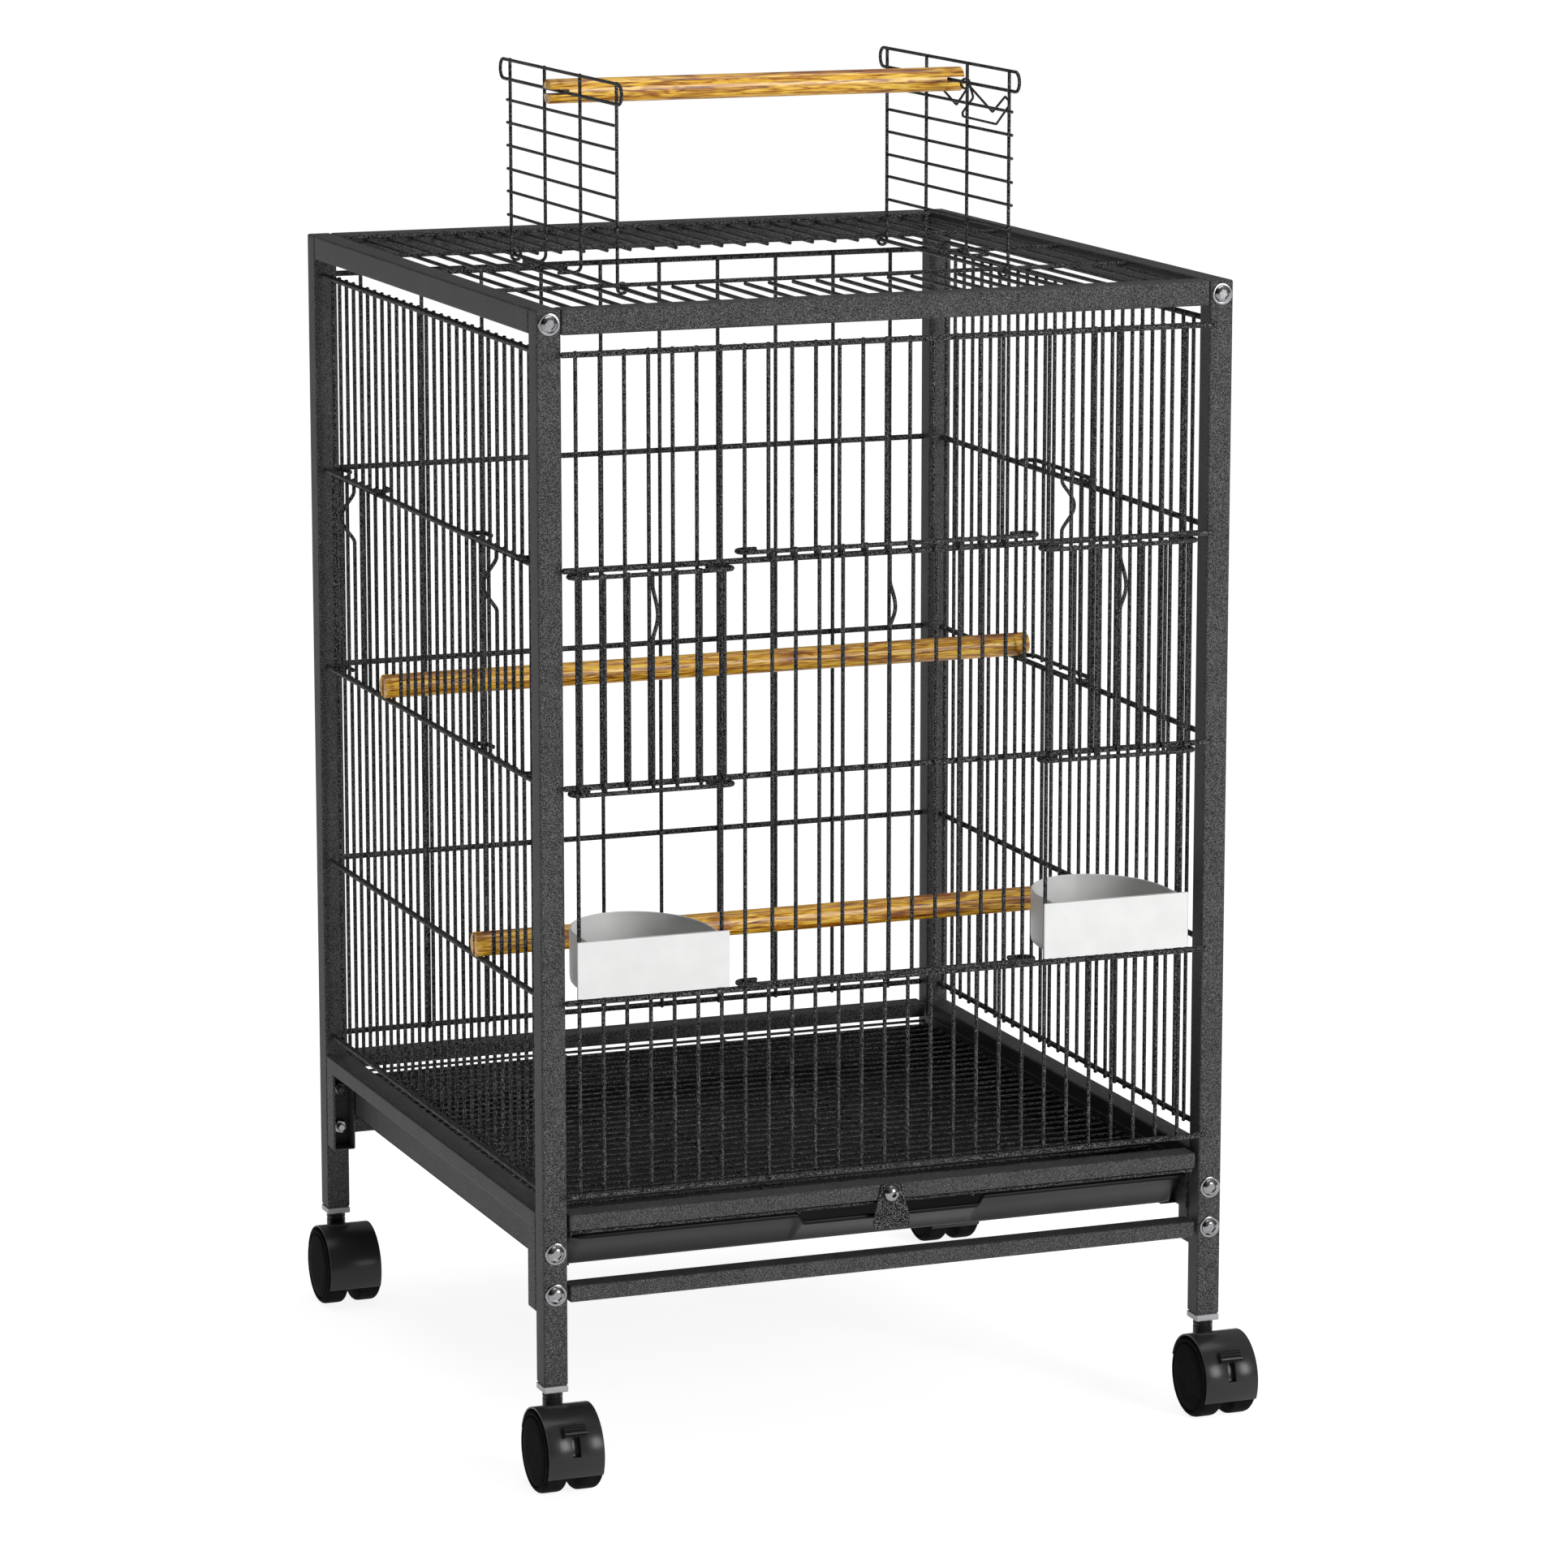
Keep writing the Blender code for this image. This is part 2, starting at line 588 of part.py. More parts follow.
def build_tray():
    tray = make_object("waste_tray", tray_shape(0.0, TRAY_HEIGHT[1]), "tray_plastic")
    hollow = make_object("waste_tray_hollow", tray_shape(TRAY_WALL, TRAY_HEIGHT[1] + 0.002), "tray_plastic")
    boolean(tray, hollow, "DIFFERENCE")
    low, high = TRAY_HEIGHT[1] - NOTCH_DROP, TRAY_HEIGHT[1] + 0.002
    slant = NOTCH_DROP
    outline = [(NOTCH[0], high), (NOTCH[0] + slant, low), (NOTCH[1] - slant, low), (NOTCH[1], high)]
    notch = extrusion(outline, "y", TRAY_DEPTHS[0] - 0.01, TRAY_DEPTHS[0] + 0.02)
    boolean(tray, make_object("waste_tray_notch", notch, "tray_plastic"), "DIFFERENCE")


def build_grate():
    thick = around(GRATE_HEIGHT, GRATE_WIRE)
    front, back = GRATE_DEPTHS
    step = (back - front - GRATE_WIRE) / (GRATE_WIRES - 1)
    starts = [front + i * step for i in range(GRATE_WIRES)]
    boxes = [((-GRATE_HALF, GRATE_HALF), (start, start + GRATE_WIRE), thick) for start in starts]
    edge = GRATE_HALF - GRATE_WIRE / 2
    boxes += [(around(x, GRATE_WIRE), GRATE_DEPTHS, thick) for x in (-edge, *GRATE_STAYS, edge)]
    box_object("floor_grate", boxes, "wire")


def build_runners():
    """Angle runners inside the drop legs, whose shelves carry the tray."""
    for side, sign in (("left", -1), ("right", 1)):
        web = tuple(sorted((sign * 0.2035, sign * 0.2047)))
        shelf = tuple(sorted((sign * 0.1935, sign * 0.2047)))
        along = (LEG_DEPTHS[0][0], LEG_DEPTHS[1][1])
        boxes = [(web, along, (RUNNER_SHELF[0], RUNNER_TOP)), (shelf, along, RUNNER_SHELF)]
        box_object(f"{side}_tray_runner", boxes, "hammered_steel")


def build_tab():
    """The turn button that keeps the tray in, and the screw that it turns on."""
    x, z = SCREW
    outline = [(x - 0.0062, z + 0.0061), (x + 0.0062, z + 0.0061), (x + 0.0117, z - 0.0150)]
    outline += [(x + 0.0117, z - 0.0200), (x + 0.0095, z - 0.0216), (x - 0.0095, z - 0.0216)]
    outline += [(x - 0.0117, z - 0.0200), (x - 0.0117, z - 0.0150)]
    back = BASE_DEPTHS[0] - CLEAR
    plate = extrusion(outline, "y", back - 0.0012, back)
    tab = make_object("tray_tab", plate, "wire", (x, 0.0, z))
    bolt_holes(tab, x, (-0.01, 0.01), [z], SCREW_R + CLEAR)
    head = back - 0.0012 - CLEAR
    profile = [(0, head - 0.003), (0.0043, head - 0.003), (0.0049, head - 0.0024), (0.0049, head)]
    profile += [(SCREW_R, head), (SCREW_R, 0.0075), (0, 0.0075)]
    make_object("tab_screw", turned(profile, (x, 0.0, z), "y", 8), "zinc")


# ---- casters ------------------------------------------------------------------------------------
PLUG_FLANGE = (POST_FOOT - 0.004, POST_FOOT - CLEAR)
PLUG_TOP = POST_FOOT + 0.018
COLLAR_R = 0.006
HOOD_HALF = 0.0172
HOOD_SKIRT = 205.0  # degrees round the axle from straight back, over the top, to the hood's front edge
HOOD_BACK = 18.0  # and to its rear edge
COLLAR_FOOT = 0.004  # above the axle, inside the hood
AXLE_R = 0.003
BRAKE_PAD = (136.0, 150.0)  # degrees round the axle, as for the hood
BRAKE_SLOT = (131.0, 176.0)
BRAKE_ROOT = 0.0222
PAD_R = 0.0305
WHEEL_CLEAR = 0.0005


def arc(radius, start, end, steps):
    angles = [math.radians(start + (end - start) * i / steps) for i in range(steps + 1)]
    return [(radius * math.cos(t), radius * math.sin(t)) for t in angles]


def build_hood(name, x, stem):
    """Round hood over the front and top of the wheels, a web between them, and the stem in its back."""
    axle = stem - TRAIL
    outline = arc(HOOD_R, HOOD_SKIRT, HOOD_BACK, 18)
    outline += [(0.018, 0.0035), (0.007, -0.009), (-0.012, -0.010)]
    shifted = [(axle + a, WHEEL_R + b) for a, b in outline]
    hood = make_object(name, extrusion(shifted, "x", x - HOOD_HALF, x + HOOD_HALF), "black_plastic",
                       (x, stem, WHEEL_R))
    top = PLUG_FLANGE[0] - CLEAR
    profile = [(0, WHEEL_R + COLLAR_FOOT), (COLLAR_R, WHEEL_R + COLLAR_FOOT), (COLLAR_R, top)]
    profile += [(STEM_R, top), (STEM_R, PLUG_TOP - 0.002), (0, PLUG_TOP - 0.002)]
    column = make_object(f"{name}_stem", turned(profile, (x, stem, 0.0), "z", 12), "black_plastic")
    boolean(hood, column, "UNION")
    web = WHEEL_GAP - WHEEL_CLEAR
    ring = circle((axle, WHEEL_R), WHEEL_R + WHEEL_CLEAR, 24)
    for side, sign in (("left", -1), ("right", 1)):
        span = sorted((x + sign * web, x + sign * (HOOD_HALF + 0.002)))
        cutter = make_object(f"{name}_{side}_wheel_room", extrusion(ring, "x", *span), "black_plastic")
        boolean(hood, cutter, "DIFFERENCE")
    hole = extrusion(circle((axle, WHEEL_R), AXLE_R + 0.0005, 8), "x", x - 0.01, x + 0.01)
    boolean(hood, make_object(f"{name}_axle_hole", hole, "black_plastic"), "DIFFERENCE")
    if name.startswith("front"):
        slot = arc(HOOD_R + 0.002, *BRAKE_SLOT, 4) + arc(BRAKE_ROOT - CLEAR, *BRAKE_SLOT[::-1], 4)
        cut = extrusion([(axle + a, WHEEL_R + b) for a, b in slot], "x", x - 0.0025, x + 0.0025)
        boolean(hood, make_object(f"{name}_brake_slot", cut, "black_plastic"), "DIFFERENCE")


def build_wheels(name, x, stem):
    """Two wheels on one axle, as one turning piece."""
    profile = []
    for sign in (-1, 1):
        side = [(0, WHEEL_HALF), (0.0215, WHEEL_HALF), (WHEEL_R, WHEEL_HALF - 0.002)]
        side += [(WHEEL_R, WHEEL_GAP + 0.0015), (0.0235, WHEEL_GAP), (AXLE_R, WHEEL_GAP)]
        side = [(radius, sign * along) for radius, along in side]
        profile += side if sign < 0 else side[::-1]
    centre = (x, stem - TRAIL, WHEEL_R)
    wheels = make_object(name, turned(profile, centre, "x", 20), "black_plastic", centre)
    smooth(wheels)


def build_brake(name, x, stem):
    """A ribbed pad outside the hood, on an arm in its slot, that swings down round the axle."""
    axle = stem - TRAIL
    shapes = []
    for inner, outer, half in ((HOOD_R + 0.0004, PAD_R, 0.007), (BRAKE_ROOT, PAD_R - 0.001, 0.002)):
        outline = arc(outer, *BRAKE_PAD, 2) + arc(inner, *BRAKE_PAD[::-1], 2)
        shifted = [(axle + a, WHEEL_R + b) for a, b in outline]
        shapes.append(extrusion(shifted, "x", x - half, x + half))
    pivot = (x, axle, WHEEL_R)
    lever = make_object(name, shapes[0], "black_plastic", pivot)
    boolean(lever, make_object(f"{name}_arm", shapes[1], "black_plastic"), "UNION")


def build_plug(name, x, stem):
    """A plastic insert: a flange under the post, a block inside it, and the bore for the stem."""
    inner = TUBE - 2 * WALL - 2 * CLEAR
    boxes = [(around(x, TUBE), around(stem, TUBE), PLUG_FLANGE)]
    boxes.append((around(x, inner), around(stem, inner), (PLUG_FLANGE[0], PLUG_TOP)))
    plug = box_object(name, boxes, "grey_plastic")
    bore = extrusion(circle((x, stem), STEM_R + CLEAR, 12), "z", POST_FOOT - 0.01, PLUG_TOP + 0.002)
    boolean(plug, make_object(f"{name}_bore", bore, "grey_plastic"), "DIFFERENCE")


def build_casters():
    for side, x in (("left", -POST_X), ("right", POST_X)):
        for end, stem in zip(("front", "rear"), POST_DEPTHS):
            build_plug(f"{end}_{side}_plug", x, stem)
            build_hood(f"{end}_{side}_caster_hood", x, stem)
            build_wheels(f"{end}_{side}_wheels", x, stem)
            if end == "front":
                build_brake(f"{end}_{side}_brake", x, stem)


def main():
    clear_scene()
    build_posts()
    build_top_rails()
    build_base()
    build_bolts()
    build_front_grille()
    build_side_grilles()
    build_rear_grille()
    build_top_grille()
    build_doors()
    build_play_top()
    build_perches()
    build_cups()
    build_tray()
    build_grate()
    build_runners()
    build_tab()
    build_casters()


main()
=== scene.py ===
"""Looks of the wire bird cage: round welded wires, rolled tubes, perches, cups, casters, their
materials, the camera, the floor and the studio light. Depths count from the posts' front faces."""

import math

import bmesh
import bpy
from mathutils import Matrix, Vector


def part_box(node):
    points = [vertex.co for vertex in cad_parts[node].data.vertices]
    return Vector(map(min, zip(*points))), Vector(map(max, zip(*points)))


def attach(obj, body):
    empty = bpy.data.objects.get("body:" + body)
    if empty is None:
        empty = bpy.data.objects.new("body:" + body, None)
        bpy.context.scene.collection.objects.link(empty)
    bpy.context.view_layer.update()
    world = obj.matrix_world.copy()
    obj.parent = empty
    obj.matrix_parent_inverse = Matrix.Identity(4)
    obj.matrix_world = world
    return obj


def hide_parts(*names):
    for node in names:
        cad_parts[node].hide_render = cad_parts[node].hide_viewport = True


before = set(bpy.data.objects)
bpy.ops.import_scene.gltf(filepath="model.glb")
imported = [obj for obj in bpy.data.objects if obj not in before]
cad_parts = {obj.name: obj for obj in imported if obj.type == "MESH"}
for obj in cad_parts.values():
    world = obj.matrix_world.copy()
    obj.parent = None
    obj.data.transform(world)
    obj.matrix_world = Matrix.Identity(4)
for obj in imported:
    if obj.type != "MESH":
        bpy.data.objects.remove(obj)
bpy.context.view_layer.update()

# ---- places that come from the frame -------------------------------------------------------------
LEFT_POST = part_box("front_left_post")
FRONT_Y = LEFT_POST[0][1]
FRAME_TOP = LEFT_POST[1][2]
TUBE = LEFT_POST[1][0] - LEFT_POST[0][0]
POST_X = -(LEFT_POST[0][0] + LEFT_POST[1][0]) / 2
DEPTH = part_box("rear_left_post")[1][1] - FRONT_Y
GRILLE_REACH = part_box("front_grille")[1][0]
SIDE_ENDS = [corner[1] - FRONT_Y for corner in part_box("left_grille")]
PERCH_LOOP = sum(corner[2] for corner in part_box("play_perch")) / 2  # height of the loop wire it sits on

# ---- driving dimensions of the wires -------------------------------------------------------------
PITCH = 0.01485
BAR = 0.0024
RAIL = 0.0036
REAR_BAR = 0.0025
DOOR_RAIL = 0.0028
FLAP_BAR = 0.0021
FLAP_WIRE = 0.0019
WELD = 0.00025  # how far crossing wires sink into each other
LEVELS = [FRAME_TOP - drop for drop in (0.0257, 0.151, 0.279, 0.407, 0.524)]
BARS_X = [(i - 13) * PITCH - 0.00415 for i in range(27)]
BARS_DEPTH = [0.0228 + PITCH * j for j in range(28)]
RAIL_TO_BAR = (RAIL + BAR) / 2 - WELD
FRONT_RAIL_DEPTH = -0.0045
SIDE_RAIL_X = 0.2145
REAR_RAIL_DEPTH = DEPTH - 0.0055
REAR_BARS_X = [(i - 4.5) * 0.0407 - 0.0041 for i in range(10)]

MAIN_DOOR = (7, 19)
FEEDERS = {"left": (0, 6), "right": (20, 26)}
SIDE_DOORS = {"left_front": (1, 7), "left_rear": (20, 26), "right": (12, 18)}
DOOR_LIFT = 0.0056  # of a door's rails outside the panel's rails
DOOR_HOOK = 0.00565  # radius of the door hooks round their guide bars
HOOK_REACH = 0.0085
BULGE = 0.0085  # of a door's middle bar, for a finger
MAIN_BULGE_SPAN = (0.0225, 0.0500)  # below the door's top rail
BULGE_SPAN = (0.0075, 0.0390)
BULGE_STEPS = 20

ROOF = FRAME_TOP - 0.0042
ROOF_WIRE = 0.0026
ROOF_DEPTHS = (0.0166, 0.1205, 0.3235, DEPTH - 0.0166)
ROOF_MIDDLE = 0.2255
HINGE_X = 0.1235
ROOF_PITCH = HINGE_X / 8

FLAP_X = 0.1265
FLAP_BARS = (0.1235, 0.189, 0.2545, 0.320)
FLAP_WIRE_ENDS = (FLAP_BARS[0] - 0.0009, FLAP_BARS[-1] + 0.0009)
FLAP_WIRES = [FRAME_TOP + up for up in (0.0213, 0.036, 0.050, 0.0645, 0.0787, 0.0928)]
LOOP = (PERCH_LOOP, PERCH_LOOP + 0.012)
LOOP_SPAN = (0.111, 0.335)
LOOP_OUT = 0.0013  # of the loop wires outside the uprights they are welded to
RING = 0.0030  # radius of the flap rings round their hinge wire
FOOT_RUN = 0.015  # of the middle uprights' feet, outwards over the roof


def at(x, depth, z):
    """A point at a depth behind the posts' front faces."""
    return Vector((x, FRONT_Y + depth, z))


# ---- materials -----------------------------------------------------------------------------------
class Nodes:
    """A new node material, with short ways to add its nodes and link them."""

    def __init__(self, name):
        self.material = bpy.data.materials.new(name)
        self.material.use_nodes = True
        self.tree = self.material.node_tree
        self.shader = self.tree.nodes["Principled BSDF"]
        self.place = self.tree.nodes.new("ShaderNodeTexCoord").outputs["Object"]

    def add(self, kind, **inputs):
        """A shader node of that kind, its inputs fed by name with _ for spaces."""
        node = self.tree.nodes.new("ShaderNode" + kind)
        for key, value in inputs.items():
            self.feed(node.inputs[key.replace("_", " ")], value)
        return node

    def feed(self, socket, value):
        """Links a socket, or sets a constant."""
        if isinstance(value, bpy.types.NodeSocket):
            self.tree.links.new(value, socket)
        else:
            socket.default_value = value

    def noise(self, scale, detail=3.0, roughness=0.55, stretch=None, distortion=0.0):
        """A noise pattern of that many features per metre, optionally stretched by axis."""
        place = self.place
        if stretch:
            place = self.add("Mapping", Vector=place, Scale=stretch).outputs["Vector"]
        node = self.add("TexNoise", Vector=place, Scale=scale, Detail=detail, Roughness=roughness,
                        Distortion=distortion)
        return node.outputs["Fac"]

    def ramp(self, factor, *stops):
        """A colour ramp from (position, colour) stops."""
        node = self.add("ValToRGB", Fac=factor)
        points = node.color_ramp.elements
        while len(points) < len(stops):
            points.new(1.0)
        for point, (position, colour) in zip(points, stops):
            point.position = position
            point.color = (*colour, 1.0)
        return node.outputs["Color"]

    def spread(self, factor, low, high):
        """A number that runs from low to high as factor runs from 0 to 1."""
        return self.add("MapRange", Value=factor, To_Min=low, To_Max=high).outputs["Result"]

    def bump(self, height, strength, distance):
        """Turns a pattern into relief on the shader's normal."""
        node = self.add("Bump", Height=height, Strength=strength, Distance=distance)
        self.feed(self.shader.inputs["Normal"], node.outputs["Normal"])

    def times(self, a, b):
        """One colour multiplied by another."""
        node = self.add("Mix")
        node.data_type = "RGBA"
        node.blend_type = "MULTIPLY"
        colours = [socket for socket in node.inputs if socket.type == "RGBA"]
        self.feed(node.inputs["Factor"], 1.0)
        self.feed(colours[0], a)
        self.feed(colours[1], b)
        return next(socket for socket in node.outputs if socket.type == "RGBA")

    def set(self, **inputs):
        """Feeds the shader's own inputs by name and gives the finished material."""
        for key, value in inputs.items():
            self.feed(self.shader.inputs[key.replace("_", " ")], value)
        return self.material


def grey(value, tint=1.0):
    """A grey colour, its blue multiplied by tint."""
    return (value, value, value * tint)


def speckled_paint(name, dark, middle, light, grain, relief, gloss, reflect):
    """Powder coat: pale and dark grains over a charcoal ground, with an orange-peel relief. On the frame the
    pale grains are the coat's own; on the wires they are painted glints, standing in for highlights on the
    coat's little bumps.
    """
    nodes = Nodes(name)
    fine = nodes.noise(grain, detail=2.0, roughness=0.65)
    broad = nodes.noise(grain / 60, detail=2.0)
    # the light stop is real pale grain on the frame's coat and painted glints on the wires' coat
    colour = nodes.ramp(fine, (0.42, grey(dark)), (0.52, grey(middle, 1.03)), (0.62, grey(light, 1.04)))
    shade = nodes.ramp(broad, (0.3, grey(0.85)), (0.7, grey(1.0)))
    nodes.bump(fine, relief, 0.0003)
    rough = nodes.spread(fine, gloss + 0.12, gloss - 0.06)
    return nodes.set(Base_Color=nodes.times(colour, shade), Roughness=rough, Metallic=0.0, IOR=reflect)


def zinc_material():
    """Bright zinc plate, faintly brushed."""
    nodes = Nodes("bright_zinc")
    brushed = nodes.noise(900.0, detail=3.0)
    colour = nodes.ramp(brushed, (0.3, grey(0.22, 1.03)), (0.7, grey(0.30, 1.02)))
    nodes.bump(brushed, 0.08, 0.0001)
    return nodes.set(Base_Color=colour, Roughness=nodes.spread(brushed, 0.12, 0.22), Metallic=1.0)


def wood_material():
    """Varnished light wood: long wavering grain, darker streaks and short pores along x."""
    nodes = Nodes("varnished_wood")
    sway = nodes.noise(1.0, detail=2.0, stretch=(14.0, 90.0, 90.0), distortion=1.2)
    grain = nodes.noise(1.0, detail=5.0, roughness=0.6, stretch=(26.0, 420.0, 420.0), distortion=2.2)
    pores = nodes.noise(1.0, detail=2.0, stretch=(160.0, 1500.0, 1500.0))
    tan = nodes.ramp(grain, (0.34, (0.10, 0.022, 0.0005)), (0.44, (0.42, 0.16, 0.005)),
                     (0.54, (0.78, 0.43, 0.028)), (0.70, (0.98, 0.70, 0.15)))
    streak = nodes.ramp(sway, (0.38, (0.48, 0.30, 0.14)), (0.50, (1.0, 1.0, 1.0)))
    nodes.bump(pores, 0.12, 0.0002)
    return nodes.set(Base_Color=nodes.times(tan, streak), Roughness=nodes.spread(grain, 0.42, 0.3),
                     Coat_Weight=0.1, Coat_Roughness=0.15)


def plastic(name, colour, roughness, texture, relief, reflect=1.45):
    """Moulded plastic: one colour, with a faint sparking texture and a little unevenness."""
    nodes = Nodes(name)
    fine = nodes.noise(texture, detail=2.0)
    broad = nodes.noise(texture / 40, detail=2.0)
    pale = tuple(min(1.0, channel * 1.06) for channel in colour)
    tint = nodes.ramp(broad, (0.35, colour), (0.65, pale))
    nodes.bump(fine, relief, 0.0002)
    rough = nodes.spread(broad, roughness + 0.04, roughness - 0.04)
    return nodes.set(Base_Color=tint, Roughness=rough, IOR=reflect)


def wheel_material():
    """Dull black moulding with a little dust."""
    nodes = Nodes("wheel_black")
    fine = nodes.noise(1600.0, detail=2.0)
    dust = nodes.ramp(nodes.noise(140.0, detail=4.0), (0.4, grey(0.006)), (0.75, grey(0.011)))
    nodes.bump(fine, 0.1, 0.0002)
    return nodes.set(Base_Color=dust, Roughness=nodes.spread(fine, 0.5, 0.42), IOR=1.03)


MATERIALS = {
    "hammered_steel": speckled_paint("charcoal_powder_coat", 0.008, 0.038, 0.20, 2800.0, 0.4, 0.42, 1.16),
    # the wire coat's pale grains (0.21 on a 0.002 ground) are painted glints for the highlights on its bumps
    "wire": speckled_paint("black_powder_coat_wire", 0.0005, 0.002, 0.21, 1700.0, 0.9, 0.42, 1.15),
    "zinc": zinc_material(),
    "wood": wood_material(),
    "white_plastic": plastic("white_cup_plastic", (0.65, 0.65, 0.645), 0.36, 2200.0, 0.05),
    "black_plastic": plastic("satin_black_plastic", (0.020, 0.020, 0.0205), 0.26, 1500.0, 0.12, 1.3),
    "tray_plastic": plastic("black_tray_plastic", (0.005, 0.005, 0.0053), 0.36, 1200.0, 0.15, 1.2),
    "grey_plastic": plastic("grey_plug_plastic", (0.42, 0.42, 0.43), 0.45, 1500.0, 0.1),
    "wheel": wheel_material(),
}


# ---- mesh tools ----------------------------------------------------------------------------------
def sweep(bm, path, radius, sides=10, closed=False):
    """A round wire along a path of points, its ends eased unless it is closed."""
    count = len(path)
    last = count - 1
    stations = []
    for i, point in enumerate(path):
        before = path[i - 1] if closed else path[max(i - 1, 0)]
        after = path[(i + 1) % count] if closed else path[min(i + 1, last)]
        stations.append((point, (after - before).normalized(), radius))
    if not closed:
        ease = 0.35 * radius
        (first, ahead, _), (final, behind, _) = stations[0], stations[-1]
        stations[0] = (first + ahead * ease, ahead, radius)
        stations[-1] = (final - behind * ease, behind, radius)
        stations = [(first, ahead, 0.65 * radius)] + stations + [(final, behind, 0.65 * radius)]
    normal = stations[0][1].orthogonal().normalized()
    rings = []
    for point, tangent, reach in stations:
        normal = (normal - tangent * normal.dot(tangent)).normalized()
        side = tangent.cross(normal)
        ring = []
        for k in range(sides):
            turn = 2 * math.pi * k / sides
            ring.append(bm.verts.new(point + reach * (normal * math.cos(turn) + side * math.sin(turn))))
        rings.append(ring)
    join_rings(bm, rings, closed)


def join_rings(bm, rings, closed=False):
    """Skins a run of equal rings, and caps its ends unless it is closed."""
    pairs = list(zip(rings, rings[1:]))
    if closed:
        pairs.append((rings[-1], rings[0]))
    else:
        bm.faces.new(rings[0][::-1])
        bm.faces.new(rings[-1])
    for low, high in pairs:
        for k in range(len(low)):
            m = (k + 1) % len(low)
            bm.faces.new((low[k], low[m], high[m], high[k]))


def arc(centre, a, b, radius, start, end, steps):
    """Points on an arc about centre: direction a at 0 degrees, b at 90."""
    angles = [math.radians(start + (end - start) * k / steps) for k in range(steps + 1)]
    return [centre + radius * (a * math.cos(t) + b * math.sin(t)) for t in angles]


def bent(points, radius, steps=6):
    """Straight runs between the points, each corner turned on an arc of up to that radius."""
    path = [points[0]]
    for before, corner, after in zip(points, points[1:], points[2:]):
        back, on = before - corner, after - corner
        half = back.angle(on) / 2
        run = min(radius / math.tan(half), 0.49 * min(back.length, on.length))
        back.normalize()
        on.normalize()
        centre = corner + (back + on).normalized() * (run / math.cos(half))
        u, v = corner + back * run - centre, corner + on * run - centre
        angle = u.angle(v)
        for k in range(steps + 1):
            t = k / steps
            path.append(centre + (u * math.sin((1 - t) * angle) + v * math.sin(t * angle)) / math.sin(angle))
    path.append(points[-1])
    return path


def lathe(bm, profile, centre, axis, sides):
    """A solid of revolution about a unit axis, from (radius, distance along it) pairs."""
    a = axis.orthogonal().normalized()
    b = axis.cross(a)
    rings = []
    for radius, along in profile:
        ring = []
        for k in range(sides):
            turn = 2 * math.pi * k / sides
            spoke = a * math.cos(turn) + b * math.sin(turn)
            ring.append(bm.verts.new(centre + axis * along + radius * spoke))
        rings.append(ring)
    join_rings(bm, rings)


def rounded_box(bm, low, high, radius, segments=3):
    """A box between two corners with all its edges rounded."""
    made = bmesh.ops.create_cube(bm, size=1.0)["verts"]
    for vert in made:
        vert.co = Vector([(a + b) / 2 + (b - a) * c for a, b, c in zip(low, high, vert.co)])
    edges = list({edge for vert in made for edge in vert.link_edges})
    bmesh.ops.bevel(bm, geom=edges, offset=radius, segments=segments, profile=0.5, affect="EDGES")


def prism(bm, outline, low, high):
    """A prism along x of an outline of (y, z) points."""
    rings = [[bm.verts.new((x, y, z)) for y, z in outline] for x in (low, high)]
    join_rings(bm, rings)


def mesh_of(bm, name):
    """The finished mesh of a bmesh, its faces turned outwards."""
    bmesh.ops.recalc_face_normals(bm, faces=bm.faces)
    mesh = bpy.data.meshes.new(name)
    bm.to_mesh(mesh)
    bm.free()
    return mesh


def show(name, mesh, finish, body, nodes=(), sharp=40.0):
    """A piece of that mesh and material, riding on a body and standing for its CAD nodes."""
    if isinstance(mesh, bmesh.types.BMesh):
        mesh = mesh_of(mesh, name)
    mesh.materials.clear()
    mesh.materials.append(MATERIALS[finish])
    mesh.shade_smooth()
    mesh.set_sharp_from_angle(angle=math.radians(sharp))
    piece = bpy.data.objects.new(name, mesh)
    bpy.context.scene.collection.objects.link(piece)
    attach(piece, body)
    if nodes:
        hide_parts(*nodes)
    return piece


def weigh(piece):
    """Flat faces keep flat shading next to their rounded edges."""
    modifier = piece.modifiers.new("weighted_normals", "WEIGHTED_NORMAL")
    modifier.keep_sharp = True
    return piece


def carved(body, cutters, bevel=0.0):
    """The mesh of one bmesh less others, with its hard edges eased."""
    whole = bpy.data.objects.new("carved", mesh_of(body, "carved"))
    bpy.context.scene.collection.objects.link(whole)
    tools = []
    for bm in cutters:
        tool = bpy.data.objects.new("cutter", mesh_of(bm, "cutter"))
        bpy.context.scene.collection.objects.link(tool)
        modifier = whole.modifiers.new("cut", "BOOLEAN")
        modifier.operation = "DIFFERENCE"
        modifier.solver = "EXACT"
        modifier.object = tool
        tools.append(tool)
    if bevel:
        ease = whole.modifiers.new("ease", "BEVEL")
        ease.width = bevel
        ease.segments = 2
        ease.limit_method = "ANGLE"
        ease.angle_limit = math.radians(35)
        ease.use_clamp_overlap = True
    view = bpy.context.evaluated_depsgraph_get()
    mesh = bpy.data.meshes.new_from_object(whole.evaluated_get(view))
    for thing in [whole, *tools]:
        bpy.data.objects.remove(thing, do_unlink=True)
    return mesh


# ---- frame and stand -----------------------------------------------------------------------------
TUBE_CORNER = 0.0013
BOLT_DROPS = (0.0082, 0.5588, 0.584)  # of the bolts below the frame's top


def tubes():
    """The square tubes of the frame and the stand."""
    names = [f"{end}_{side}_post" for end in ("front", "rear") for side in ("left", "right")]
    names += [f"{side}_top_rail" for side in ("front", "rear", "left", "right")]
    names += [f"{end}_{part}" for end in ("front", "rear") for part in ("base_rail", "stretcher")]
    for node in names:
        bm = bmesh.new()
        rounded_box(bm, *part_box(node), TUBE_CORNER)
        weigh(show(f"{node}_tube", bm, "hammered_steel", "cage", [node]))


LEG_WALL = 0.0012
NUT_R = 0.0046


